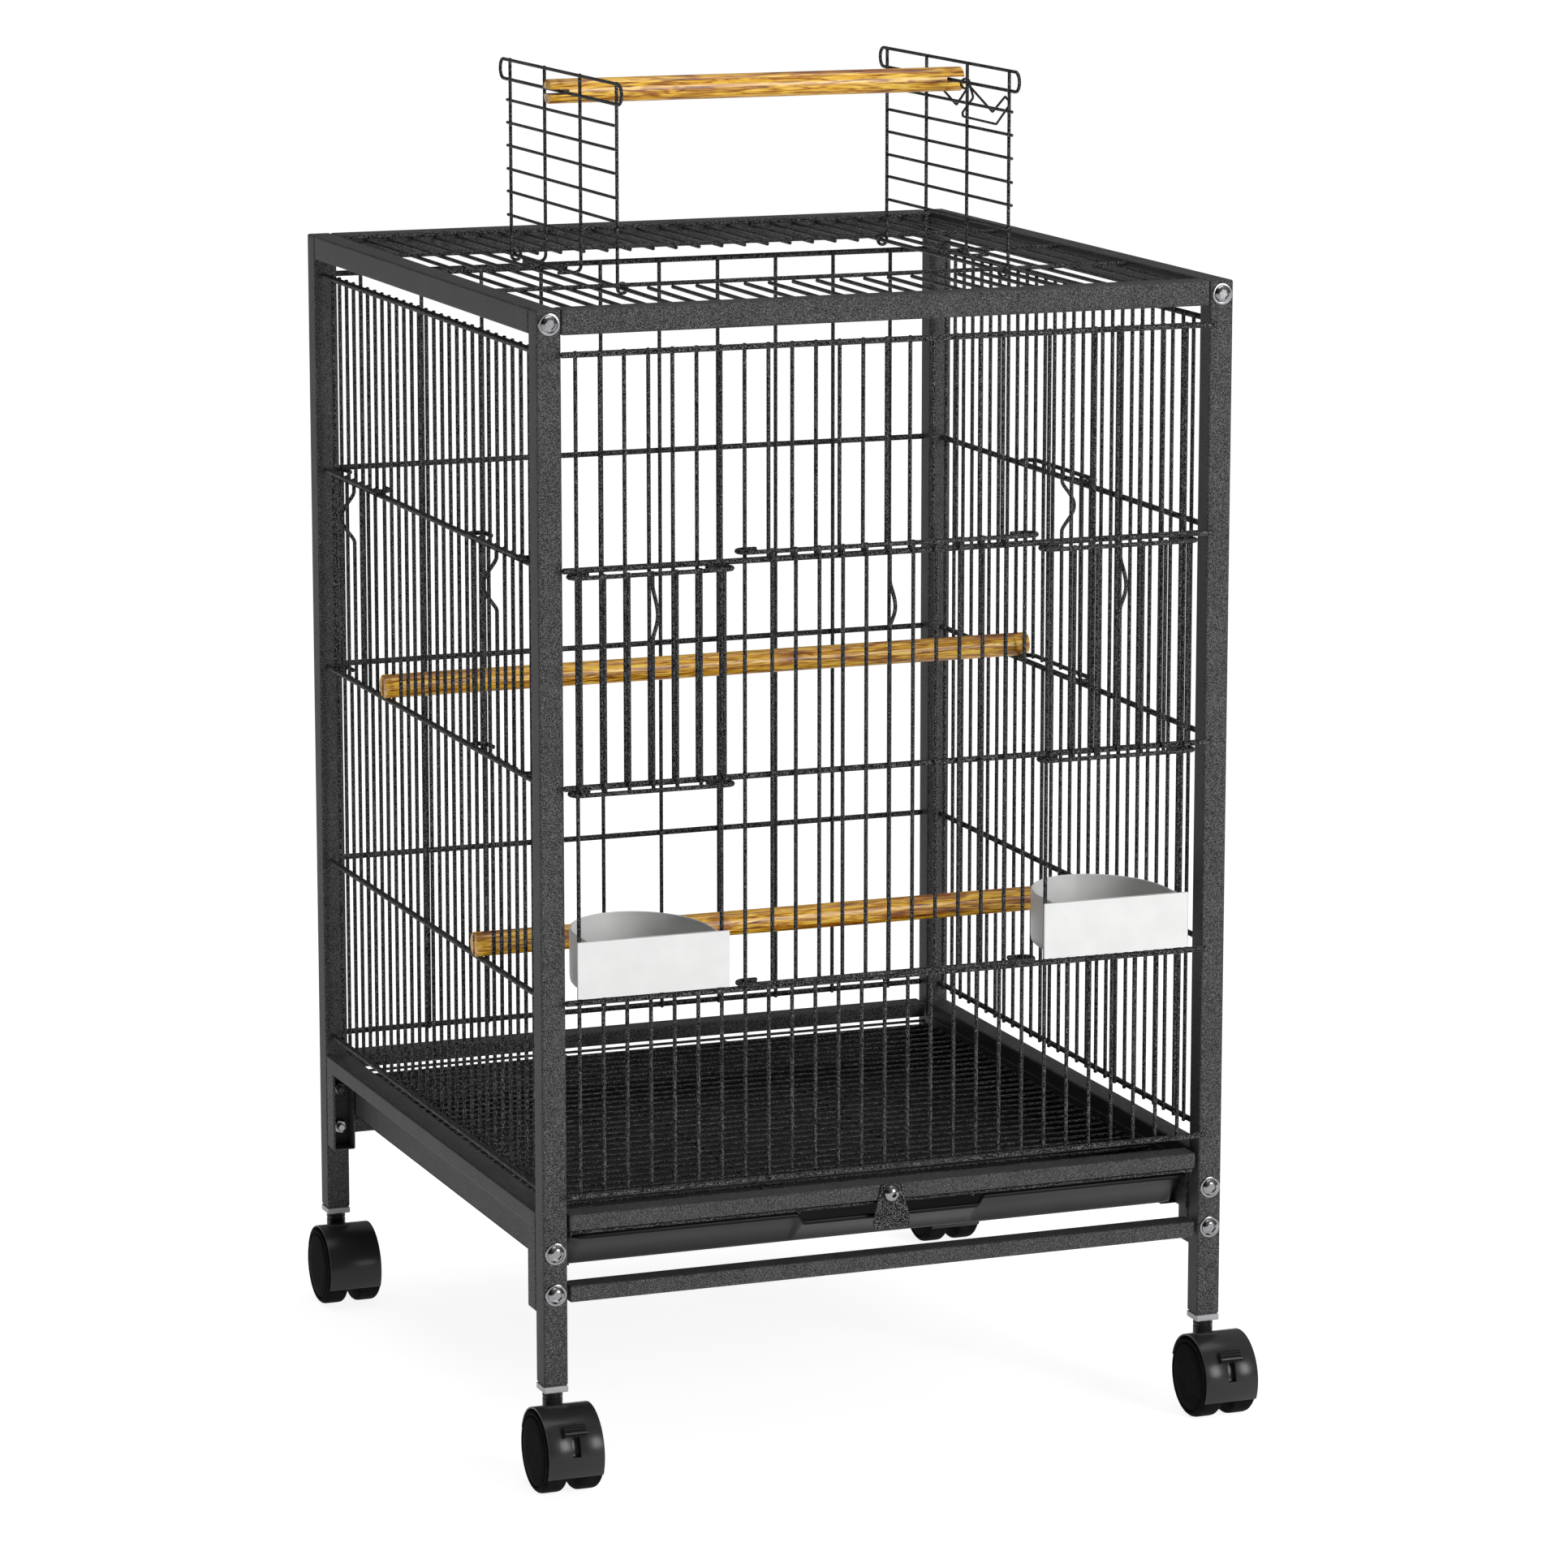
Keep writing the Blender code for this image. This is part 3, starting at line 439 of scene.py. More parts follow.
def leg_nuts(name, x, web, facing):
    """Hexagon nuts and bolt ends on the web of a drop leg, facing 1 backwards or -1 forwards."""
    bm = bmesh.new()
    axis = Vector((0.0, float(facing), 0.0))
    for drop in BOLT_DROPS[1:]:
        face = Vector((x, web, FRAME_TOP - drop))
        lathe(bm, [(NUT_R - 0.0004, -0.001), (NUT_R, 0.0004), (NUT_R, 0.0036), (NUT_R - 0.0005, 0.0040)],
              face, axis, 6)
        lathe(bm, [(0.0025, 0.0), (0.0025, 0.0066), (0.0020, 0.0071)], face, axis, 24)
    show(name, bm, "zinc", "cage", sharp=30.0)


BASE_RAIL_DROP = 0.547  # of the side rails' bottom faces below the frame's top


def base_frames():
    """The welded side frames: a flat rail, and behind each post a drop leg of open channel."""
    rail = FRAME_TOP - BASE_RAIL_DROP
    leg = TUBE - 0.0003
    for side in ("left", "right"):
        low, high = (Vector(corner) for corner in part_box(f"{side}_base_frame"))
        bm = bmesh.new()
        rounded_box(bm, (low.x, low.y, rail), high, TUBE_CORNER)
        weigh(show(f"{side}_base_side_rail", bm, "hammered_steel", "cage", [f"{side}_base_frame"]))
        middle = (low.x + high.x) / 2
        half = (high.x - low.x) / 2 - 0.0001
        for end, start, web, facing in (("front", low.y, low.y + LEG_WALL, 1),
                                        ("rear", high.y - leg, high.y - LEG_WALL, -1)):
            bm, channel = bmesh.new(), bmesh.new()
            rounded_box(bm, (middle - half, start, low.z), (middle + half, start + leg, rail + 0.002),
                        TUBE_CORNER)
            mouth = web + facing * 2 * TUBE
            rounded_box(channel, (middle - half + LEG_WALL, min(web, mouth), low.z + LEG_WALL),
                        (middle + half - LEG_WALL, max(web, mouth), rail - 0.0004), 0.0006)
            name = f"{side}_{end}_drop_leg"
            weigh(show(name, carved(bm, [channel]), "hammered_steel", "cage"))
            leg_nuts(f"{name}_nuts", middle, web, facing)


def bolt(bm, socket, x, depth, z, out):
    """A washer and a button head with a hexagon socket, facing out = -1 forwards or 1 backwards."""
    face = at(x, depth, z)
    axis = Vector((0.0, float(out), 0.0))
    profile = [(0.0020, -0.004), (0.0063, 0.0), (0.0066, 0.0003), (0.0065, 0.0008), (0.0060, 0.0010)]
    profile += [(0.0051, 0.0009), (0.0050, 0.0012)]
    profile += [(0.0052 * math.cos(t), 0.0010 + 0.0026 * math.sin(t)) for t in (0.2, 0.45, 0.7, 0.9, 1.05)]
    lathe(bm, profile, face, axis, 40)
    lathe(socket, [(0.0031, 0.0022), (0.0033, 0.006)], face, axis, 6)


def bolts():
    """Three bolts down each post, in front and behind."""
    for side, x in (("left", -POST_X), ("right", POST_X)):
        for place, drop in zip(("top", "upper", "lower"), BOLT_DROPS):
            node = f"{side}_{place}_bolt"
            for name, depth, out in ((f"{node}_head", 0.0, -1), (f"rear_{node}_head", DEPTH, 1)):
                bm, socket = bmesh.new(), bmesh.new()
                bolt(bm, socket, x, depth, FRAME_TOP - drop, out)
                show(name, carved(bm, [socket]), "zinc", "cage", [node] if out < 0 else (), sharp=30.0)


# ---- wire panels ---------------------------------------------------------------------------------
def spans(gaps):
    """The runs of a bar, as (bottom, top) heights, that remain when the rows in gaps are left out."""
    runs = []
    for row in range(len(LEVELS) - 1):
        if row in gaps:
            continue
        if runs and runs[-1][1] == row:
            runs[-1][1] = row + 1
        else:
            runs.append([row, row + 1])
    last = len(LEVELS) - 1
    reach = [RAIL / 2 if i in (0, last) else 0.0006 for i in range(last + 1)]
    return [(LEVELS[bottom] - reach[bottom], LEVELS[top] + reach[top]) for top, bottom in runs]


def front_gaps(i):
    """The rows where the front panel's bar i is left out for the doorways."""
    gaps = set()
    if MAIN_DOOR[0] < i < MAIN_DOOR[1]:
        gaps |= {1, 2}
    if any(low < i < high for low, high in FEEDERS.values()):
        gaps.add(2)
    return gaps


def front_grille():
    """Rails outside, bars inside, with openings for the main door and the cups."""
    bm = bmesh.new()
    reach = GRILLE_REACH + 0.0022
    for z in LEVELS:
        sweep(bm, [at(x, FRONT_RAIL_DEPTH, z) for x in (-reach, reach)], RAIL / 2, 12)
    for i, x in enumerate(BARS_X):
        for span in spans(front_gaps(i)):
            sweep(bm, [at(x, FRONT_RAIL_DEPTH + RAIL_TO_BAR, z) for z in span], BAR / 2)
    show("front_grille_wires", bm, "wire", "cage", ["front_grille"])


def side_grilles():
    """Rails outside, bars inside, with two doorways on the left and one on the right."""
    for side, sign in (("left", -1), ("right", 1)):
        bm = bmesh.new()
        for z in LEVELS:
            sweep(bm, [at(sign * SIDE_RAIL_X, depth, z) for depth in SIDE_ENDS], RAIL / 2, 12)
        doors = [pair for name, pair in SIDE_DOORS.items() if name.startswith(side)]
        inner = sign * (SIDE_RAIL_X - RAIL_TO_BAR)
        for j, depth in enumerate(BARS_DEPTH):
            gaps = {1} if any(low < j < high for low, high in doors) else set()
            for span in spans(gaps):
                sweep(bm, [at(inner, depth, z) for z in span], BAR / 2)
        show(f"{side}_grille_wires", bm, "wire", "cage", [f"{side}_grille"])


def rear_grille():
    """Ten wide-spaced bars inside plain rails."""
    bm = bmesh.new()
    for z in LEVELS:
        sweep(bm, [at(x, REAR_RAIL_DEPTH, z) for x in (-GRILLE_REACH, GRILLE_REACH)], RAIL / 2, 12)
    depth = REAR_RAIL_DEPTH - (RAIL + REAR_BAR) / 2 + WELD
    ends = (LEVELS[-1] - RAIL / 2, LEVELS[0] + RAIL / 2)
    for x in REAR_BARS_X:
        sweep(bm, [at(x, depth, z) for z in ends], REAR_BAR / 2)
    show("rear_grille_wires", bm, "wire", "cage", ["rear_grille"])


def roof_grille():
    """Bars from front to rear under cross wires, with the play top's opening in the middle."""
    bm = bmesh.new()
    over = ROOF + (ROOF_WIRE + BAR) / 2 - WELD
    for depth in ROOF_DEPTHS:
        sweep(bm, [at(x, depth, over) for x in (-GRILLE_REACH, GRILLE_REACH)], ROOF_WIRE / 2)
    for sign in (-1, 1):
        ends = (sign * (HINGE_X - 0.001), sign * GRILLE_REACH)
        sweep(bm, [at(x, ROOF_MIDDLE, over) for x in ends], ROOF_WIRE / 2)
    front, rear = ROOF_DEPTHS[1:3]
    for k in range(-13, 14):
        runs = [SIDE_ENDS]
        if abs(k) < 8:
            runs = [(SIDE_ENDS[0], front), (rear, SIDE_ENDS[1])]
        for run in runs:
            sweep(bm, [at(k * ROOF_PITCH, depth, ROOF) for depth in run],
                  (ROOF_WIRE if abs(k) == 8 else BAR) / 2)
    show("roof_grille_wires", bm, "wire", "cage", ["top_grille"])


# ---- doors ---------------------------------------------------------------------------------------
def door(name, body, place, guides, bars, low, high):
    """A sliding wire door in its own axes: place(along, out, up) with out from the panel's rails."""
    bm = bmesh.new()
    along, out = place(1, 0, 0) - place(0, 0, 0), place(0, 1, 0) - place(0, 0, 0)
    first, last = guides
    back = DOOR_LIFT - 2 * DOOR_HOOK
    for z in (low, high):
        path = [place(first + HOOK_REACH, back, z)]
        path += arc(place(first, DOOR_LIFT - DOOR_HOOK, z), along, out, DOOR_HOOK, 270, 90, 12)
        path += arc(place(last, DOOR_LIFT - DOOR_HOOK, z), along, out, DOOR_HOOK, 90, -90, 12)
        path.append(place(last - HOOK_REACH, back, z))
        sweep(bm, path, DOOR_RAIL / 2, 12)
    plane = DOOR_LIFT - (DOOR_RAIL + BAR) / 2 + WELD
    ends = (low - DOOR_RAIL / 2, high + DOOR_RAIL / 2)
    middle = bars[len(bars) // 2]
    for position in bars:
        path = [place(position, plane, ends[0])]
        if position == middle:
            span = MAIN_BULGE_SPAN if body == "main_door" else BULGE_SPAN
            for k in range(BULGE_STEPS + 1):
                t = k / BULGE_STEPS
                swell = math.sin(math.pi * t) ** 1.4
                path.append(place(position, plane + BULGE * swell, high - span[1] + (span[1] - span[0]) * t))
        path.append(place(position, plane, ends[1]))
        sweep(bm, path, BAR / 2)
    show(name, bm, "wire", body, [body])


def doors():
    """The front doors slide outside the front rails, the side doors outside the side rails."""

    def front(along, out, up):
        return at(along, FRONT_RAIL_DEPTH - out, up)

    low, high = MAIN_DOOR
    door("main_door_wires", "main_door", front, (BARS_X[low], BARS_X[high]), BARS_X[low + 1 : high],
         FRAME_TOP - 0.4035, FRAME_TOP - 0.1455)
    for side, (low, high) in FEEDERS.items():
        door(f"{side}_feeder_door_wires", f"{side}_feeder_door", front, (BARS_X[low], BARS_X[high]),
             BARS_X[low : high + 1], FRAME_TOP - 0.2825, FRAME_TOP - 0.1547)
    for name, (low, high) in SIDE_DOORS.items():
        sign = -1 if name.startswith("left") else 1

        def side_on(along, out, up, sign=sign):
            return at(sign * (SIDE_RAIL_X + out), along, up)

        door(f"{name}_side_door_wires", f"{name}_side_door", side_on,
             (BARS_DEPTH[low], BARS_DEPTH[high]), BARS_DEPTH[low : high + 1],
             FRAME_TOP - 0.2757, FRAME_TOP - 0.1477)


# ---- play top ------------------------------------------------------------------------------------
def play_flaps():
    """Wire flaps hinged on the roof's stout bars: uprights, thin cross wires and a rounded loop. The
    two middle uprights end in feet that rest on the roof."""
    up, back = Vector((0, 0, 1)), Vector((0, 1, 0))
    for side, sign in (("left", -1), ("right", 1)):
        out = Vector((sign, 0, 0))
        bm = bmesh.new()
        outer = sign * (FLAP_X + FLAP_BAR - WELD)
        for z in FLAP_WIRES:
            sweep(bm, [at(outer, depth, z) for depth in FLAP_WIRE_ENDS], FLAP_WIRE / 2)
        bend = (LOOP[1] - LOOP[0]) / 2
        middle = (LOOP[0] + LOOP[1]) / 2
        beside = sign * (FLAP_X + LOOP_OUT)
        loop = arc(at(beside, LOOP_SPAN[1] - bend, middle), back, up, bend, 90, -90, 12)
        loop += arc(at(beside, LOOP_SPAN[0] + bend, middle), back, up, bend, 270, 90, 12)
        sweep(bm, loop, FLAP_BAR / 2, closed=True)
        top = LOOP[1] + FLAP_BAR / 2
        for depth in (FLAP_BARS[0], FLAP_BARS[-1]):
            path = [at(sign * FLAP_X, depth, top)]
            path += arc(at(sign * HINGE_X, depth, ROOF), out, up, RING, 0, -300, 20)
            sweep(bm, path, FLAP_BAR / 2)
        foot = ROOF + RING
        far = sign * (FLAP_X + FOOT_RUN)
        for depth in FLAP_BARS[1:-1]:
            corners = [at(sign * FLAP_X, depth, top), at(sign * FLAP_X, depth, foot), at(far, depth, foot)]
            sweep(bm, bent(corners, 0.004), FLAP_BAR / 2)
        ends = (FLAP_BARS[1] - FLAP_BAR, FLAP_BARS[2] + FLAP_BAR)
        sweep(bm, [at(far - sign * 0.001, depth, foot + 0.0018) for depth in ends], FLAP_WIRE / 2)
        show(f"{side}_play_flap_wires", bm, "wire", f"{side}_play_flap", [f"{side}_play_flap"])


LATCH_WIRE = 0.0015
LATCH_EYE = 0.1926  # depth of its eye along the loop
LATCH_X = FLAP_X + 0.0045


def play_latch():
    """A bent wire catch that hangs by its eye from the right flap's lower loop wire. The eye leaves
    the loop wire room all the way round its swing."""
    out, up = Vector((1, 0, 0)), Vector((0, 0, 1))
    eye = arc(at(FLAP_X + 0.0003, LATCH_EYE, LOOP[0] - 0.0006), out, up, 0.0030, 0, 330, 18)
    drops = [(0.1942, 0.0039), (0.1897, 0.0090), (0.2108, 0.0220), (0.1537, 0.0226), (0.1314, 0.0080)]
    drops += [(0.1402, 0.0047), (0.1596, 0.0156), (0.1968, 0.0023), (0.2167, 0.0157), (0.2371, 0.0084)]
    bm = bmesh.new()
    sweep(bm, eye, LATCH_WIRE / 2)
    hanger = [at(LATCH_X, depth, LOOP[0] - drop) for depth, drop in drops]
    sweep(bm, bent([eye[0], *hanger], 0.0016), LATCH_WIRE / 2, 8)
    show("play_latch_wire", bm, "wire", "play_latch", ["play_latch"])


# ---- perches -------------------------------------------------------------------------------------
PERCH_R = 0.0075
SLIT = 0.0033
SLIT_DEPTH = 0.012


def perches():
    """Dowels with eased ends, sawn across a diameter to grip the wires."""
    for node, body, upright in (("upper_perch", "cage", True), ("lower_perch", "cage", True),
                                ("play_perch", "play_perch", False)):
        low, high = (Vector(corner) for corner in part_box(node))
        half = (high.x - low.x) / 2
        centre = (low + high) / 2
        ease = 0.0007
        profile = [(PERCH_R - ease, -half), (PERCH_R - ease * 0.3, -half + ease * 0.3)]
        profile.append((PERCH_R, -half + ease))
        steps = 24
        inner = half - SLIT_DEPTH - 0.002
        profile += [(PERCH_R, -inner + 2 * inner * k / steps) for k in range(steps + 1)]
        profile += [(radius, -along) for radius, along in profile[2::-1]]
        bm = bmesh.new()
        lathe(bm, profile, centre, Vector((1, 0, 0)), 40)
        cutters = []
        reach = PERCH_R + 0.002
        for sign in (-1, 1):
            run = 0.0075
            across = Vector((run, SLIT / 2, reach) if upright else (run, reach, SLIT / 2))
            middle = centre + Vector((sign * (half - SLIT_DEPTH + run), 0, 0))
            cutter = bmesh.new()
            rounded_box(cutter, middle - across, middle + across, 0.0004, 2)
            cutters.append(cutter)
        show(f"{node}_dowel", carved(bm, cutters), "wood", body, [node], sharp=30.0)


# ---- cups ----------------------------------------------------------------------------------------
CUP_HALF = 0.0415
CUP_WALL = 0.0015
CUP_STRAIGHT = 0.020
PLATE_DROP = 0.001


def cup_ring(bm, middle, start, back, inset, z):
    """A D-shaped ring: a half ellipse behind, short straight sides, and rounded front corners."""
    half, straight = CUP_HALF - inset, start + CUP_STRAIGHT
    reach = back - inset - straight
    corner = 0.002
    turns = [math.pi * k / 36 for k in range(37)]
    points = [(half * math.cos(t), straight + reach * math.sin(t)) for t in turns]
    front = start + inset
    for sign, first in ((-1, 180), (1, 270)):
        for k in range(5):
            turn = math.radians(first + 90 * k / 4)
            x, depth = corner * math.cos(turn), corner * math.sin(turn)
            points.append((sign * (half - corner) + x, front + corner + depth))
    return [bm.verts.new(at(middle + x, depth, z)) for x, depth in points]


def cups():
    """Moulded D-shaped cups, each hung from a square front plate."""
    for side in ("left", "right"):
        node = f"{side}_cup"
        low, high = (Vector(corner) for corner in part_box(node))
        middle = (low.x + high.x) / 2
        start, back = low.y - FRONT_Y + 0.0015, high.y - FRONT_Y
        floor, rim = low.z, high.z
        steps = [(0.004, floor), (0.0015, floor + 0.0006), (0.0004, floor + 0.002), (0.0, floor + 0.005)]
        steps += [(0.0, rim - 0.0006), (0.0002, rim - 0.0002), (0.0005, rim), (CUP_WALL - 0.0005, rim)]
        steps += [(CUP_WALL - 0.0002, rim - 0.0002), (CUP_WALL, rim - 0.0006), (CUP_WALL, floor + 0.006)]
        steps += [(CUP_WALL + 0.0008, floor + 0.0035), (CUP_WALL + 0.003, floor + 0.0018)]
        steps += [(CUP_WALL + 0.006, floor + CUP_WALL)]
        bm = bmesh.new()
        join_rings(bm, [cup_ring(bm, middle, start, back, inset, z) for inset, z in steps])
        rounded_box(bm, (low.x, low.y, low.z - PLATE_DROP), (high.x, low.y + 0.002, high.z), 0.0005)
        weigh(show(f"{node}_moulding", bm, "white_plastic", node, [node], sharp=45.0))


# ---- tray, grate and tab -------------------------------------------------------------------------
TRAY_NOTCH = (-0.057, 0.065)
NOTCH_DEEP = 0.005


def soften(node, width, finish):
    """A CAD node whose shape is right keeps it, with its edges eased and its own material."""
    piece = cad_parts[node]
    weld = piece.modifiers.new("weld", "WELD")
    weld.merge_threshold = 0.00001
    ease = piece.modifiers.new("ease", "BEVEL")
    ease.width = width
    ease.segments = 2
    ease.limit_method = "ANGLE"
    ease.angle_limit = math.radians(50)
    piece.data.materials.clear()
    piece.data.materials.append(MATERIALS[finish])
    weigh(piece)


def tray_ring(bm, box, side, front, corner, z, dip):
    """A rounded rectangle inside box at height z, its front edge lowered at the finger notch by dip."""
    (x0, y0, _), (x1, y1, _) = box
    x0, x1, y0, y1 = x0 + side, x1 - side, y0 + front, y1 - side
    points = []

    def turn(x, y, start):
        for k in range(7):
            angle = math.radians(start + 15 * k)
            points.append((x + corner * math.cos(angle), y + corner * math.sin(angle), 0.0))

    turn(x0 + corner, y0 + corner, 180)
    for edge, sign in ((TRAY_NOTCH[0], 1), (TRAY_NOTCH[1], -1)):
        steps = range(7) if sign > 0 else range(6, -1, -1)
        for k in steps:
            fall = 0.5 - 0.5 * math.cos(math.pi * k / 6)
            points.append((edge + sign * NOTCH_DEEP * k / 6, y0, -NOTCH_DEEP * fall))
    turn(x1 - corner, y0 + corner, 270)
    turn(x1 - corner, y1 - corner, 0)
    turn(x0 + corner, y1 - corner, 90)
    return [bm.verts.new((x, y, z + dip * lowered)) for x, y, lowered in points]


def tray():
    """A moulded tray with a rolled lip, a front wall that slopes in, and a finger notch."""
    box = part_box("waste_tray")
    floor, top = box[0][2], box[1][2]
    steps = [(0.0035, 0.0225, 0.006, floor, 0), (0.0022, 0.0208, 0.007, floor + 0.0006, 0)]
    steps += [(0.0018, 0.0195, 0.008, floor + 0.0022, 0), (0.0018, 0.0036, 0.010, top - 0.0036, 1)]
    steps += [(0.0006, 0.0008, 0.012, top - 0.0031, 1), (0.0, 0.0, 0.012, top - 0.0022, 1)]
    steps += [(0.0001, 0.0001, 0.012, top - 0.0010, 1), (0.0006, 0.0006, 0.012, top - 0.0003, 1)]
    steps += [(0.0014, 0.0014, 0.011, top, 1), (0.0024, 0.0026, 0.011, top - 0.0005, 1)]
    steps += [(0.0032, 0.0042, 0.010, top - 0.0022, 1), (0.0033, 0.0205, 0.007, floor + 0.0030, 0)]
    steps += [(0.0042, 0.0225, 0.006, floor + 0.0018, 0), (0.0060, 0.0250, 0.004, floor + 0.0014, 0)]
    bm = bmesh.new()
    join_rings(bm, [tray_ring(bm, box, *step) for step in steps])
    show("waste_tray_moulding", bm, "tray_plastic", "waste_tray", ["waste_tray"], sharp=50.0)


def runners():
    """Angle runners inside the drop legs, whose shelves start behind the front legs."""
    for side, sign in (("left", -1), ("right", 1)):
        node = f"{side}_tray_runner"
        low, high = (Vector(corner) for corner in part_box(node))
        wall = 0.0012
        outer = low.x if sign < 0 else high.x
        inner = high.x if sign < 0 else low.x
        web = sorted((outer, outer - sign * wall))
        shelf = sorted((outer, inner))
        bm = bmesh.new()
        rounded_box(bm, (web[0], low.y, low.z), (web[1], high.y, high.z + 0.0018), 0.0004, 2)
        rounded_box(bm, (shelf[0], low.y + TUBE, low.z), (shelf[1], high.y - TUBE, low.z + wall), 0.0004, 2)
        weigh(show(f"{node}_angle", bm, "hammered_steel", "cage", [node]))


def tray_parts():
    """The tray, what carries it and the turn tab that keeps it in."""
    tray()
    runners()
    soften("tray_tab", 0.0003, "wire")


GRATE_WIRES = 35  # from side to side
GRATE_WIRE = 0.0019
GRATE_MIDDLE = 0.0565


def grate():
    """Wires from side to side, carried on four that run front to back and pass the tab's screw."""
    low, high = (Vector(corner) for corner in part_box("floor_grate"))
    wire = GRATE_WIRE
    middle = (low.z + high.z) / 2 + 0.0002
    bm = bmesh.new()
    first, last = low.y - FRONT_Y + wire / 2, high.y - FRONT_Y - wire / 2
    for k in range(GRATE_WIRES):
        depth = first + (last - first) * k / (GRATE_WIRES - 1)
        sweep(bm, [at(x, depth, middle) for x in (low.x, high.x)], wire / 2, 8)
    for x in (low.x + wire / 2, -GRATE_MIDDLE, GRATE_MIDDLE, high.x - wire / 2):
        sweep(bm, [at(x, depth, middle - 0.0016) for depth in (first, last)], wire / 2, 8)
    show("floor_grate_wires", bm, "wire", "floor_grate", ["floor_grate"])


def tab_screw():
    """A pan head with a hexagon socket, whose washer face bears on the tab."""
    low, high = (Vector(corner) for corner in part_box("tab_screw"))
    centre = (low + high) / 2
    face = Vector((centre.x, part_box("tray_tab")[0][1], centre.z))
    bm, socket = bmesh.new(), bmesh.new()
    axis = Vector((0, -1, 0))
    profile = [(0.002, -0.006), (0.0048, 0.0002), (0.0052, 0.0005), (0.0050, 0.0012)]
    profile += [(0.0042, 0.0022), (0.0030, 0.0030), (0.0018, 0.0033)]
    lathe(bm, profile, face, axis, 36)
    lathe(socket, [(0.0020, 0.0012), (0.0021, 0.006)], face, axis, 6)
    show("tab_screw_head", carved(bm, [socket]), "zinc", "cage", ["tab_screw"], sharp=30.0)


# ---- casters -------------------------------------------------------------------------------------
WHEEL_R = 0.025
TRAIL = 0.018
HOOD_R = 0.0265
HOOD_HALF = 0.0172
BRAKE_PAD = (136.0, 150.0)
BRAKE_SLOT = (131.0, 176.0)


def polar(radius, start, end, steps):
    """(back, up) points round the axle, from straight back over the top."""
    angles = [math.radians(start + (end - start) * k / steps) for k in range(steps + 1)]
    return [(radius * math.cos(t), radius * math.sin(t)) for t in angles]


HOOD_GAP = 0.0035  # half of the web between the two wheel rooms


def circle(radius):
    """64 such points, all the way round."""
    return polar(radius, 0.0, 354.375, 63)


def round_axle(outline, axle_y):
    """The (y, z) points of an outline that is given round an axle."""
    return [(axle_y + back, WHEEL_R + up) for back, up in outline]


def hood(corner, x, axle_y):
    """A round hood over both wheels, with a web between them and a slot for the front's brake."""
    outline = polar(HOOD_R, 205.0, 18.0, 64)
    outline += [(0.0180, 0.0035), (0.007, -0.009), (-0.012, -0.010)]
    bm = bmesh.new()
    prism(bm, round_axle(outline, axle_y), x - HOOD_HALF, x + HOOD_HALF)
    cutters = []
    room = round_axle(circle(WHEEL_R + 0.0005), axle_y)
    for sign in (-1, 1):
        cutter = bmesh.new()
        prism(cutter, room, *sorted((x + sign * HOOD_GAP, x + sign * (HOOD_HALF + 0.002))))
        cutters.append(cutter)
    if corner.startswith("front"):
        slot = polar(HOOD_R + 0.002, *BRAKE_SLOT, 8) + polar(0.0219, *BRAKE_SLOT[::-1], 8)
        cutter = bmesh.new()
        prism(cutter, round_axle(slot, axle_y), x - 0.0025, x + 0.0025)
        cutters.append(cutter)
    show(f"{corner}_hood_shell", carved(bm, cutters, 0.0004), "black_plastic", f"{corner}_caster",
         [f"{corner}_caster_hood"], sharp=35.0)


def stem(corner, x, stem_y):
    """The ringed collar between the plug and the back of the hood, that it runs down to."""
    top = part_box(f"{corner}_plug")[0][2] - 0.0003
    ring = WHEEL_R + 0.0262
    profile = [(0.0061, WHEEL_R + 0.004), (0.0061, ring), (0.0057, ring + 0.0003), (0.0057, ring + 0.0009)]
    profile += [(0.0061, ring + 0.0012), (0.0061, top - 0.0018), (0.0057, top - 0.0015)]
    profile += [(0.0057, top - 0.0011), (0.0061, top - 0.0008), (0.0061, top - 0.0003), (0.0057, top)]
    bm, crown = bmesh.new(), bmesh.new()
    lathe(bm, profile, Vector((x, stem_y, 0.0)), Vector((0, 0, 1)), 40)
    prism(crown, round_axle(circle(HOOD_R - 0.0004), stem_y - TRAIL), x - 0.01, x + 0.01)
    show(f"{corner}_stem_collar", carved(bm, [crown]), "black_plastic", f"{corner}_caster", sharp=30.0)


def wheels(corner, x, axle_y):
    """A pair of moulded wheels: rounded treads, and outer discs with a raised rim."""
    axis = Vector((1, 0, 0))
    bm = bmesh.new()
    for sign in (-1, 1):
        profile = [(0.003, 0.004), (0.0225, 0.004), (0.0240, 0.0045), (0.0248, 0.0056), (WHEEL_R, 0.0072)]
        profile += [(WHEEL_R, 0.0152), (0.0247, 0.0166), (0.0240, 0.0175), (0.0232, 0.0181)]
        profile += [(0.0222, 0.0182), (0.0217, 0.0180), (0.0213, 0.0174), (0.0209, 0.0175)]
        profile += [(0.0204, 0.0182), (0.0195, 0.0185), (0.0120, 0.0185), (0.0005, 0.0185)]
        lathe(bm, profile, Vector((x, axle_y, WHEEL_R)), axis * sign, 72)
    lathe(bm, [(0.003, -0.0045), (0.003, 0.0045)], Vector((x, axle_y, WHEEL_R)), axis, 24)
    show(f"{corner}_wheel_pair", bm, "wheel", f"{corner}_wheels", [f"{corner}_wheels"], sharp=28.0)


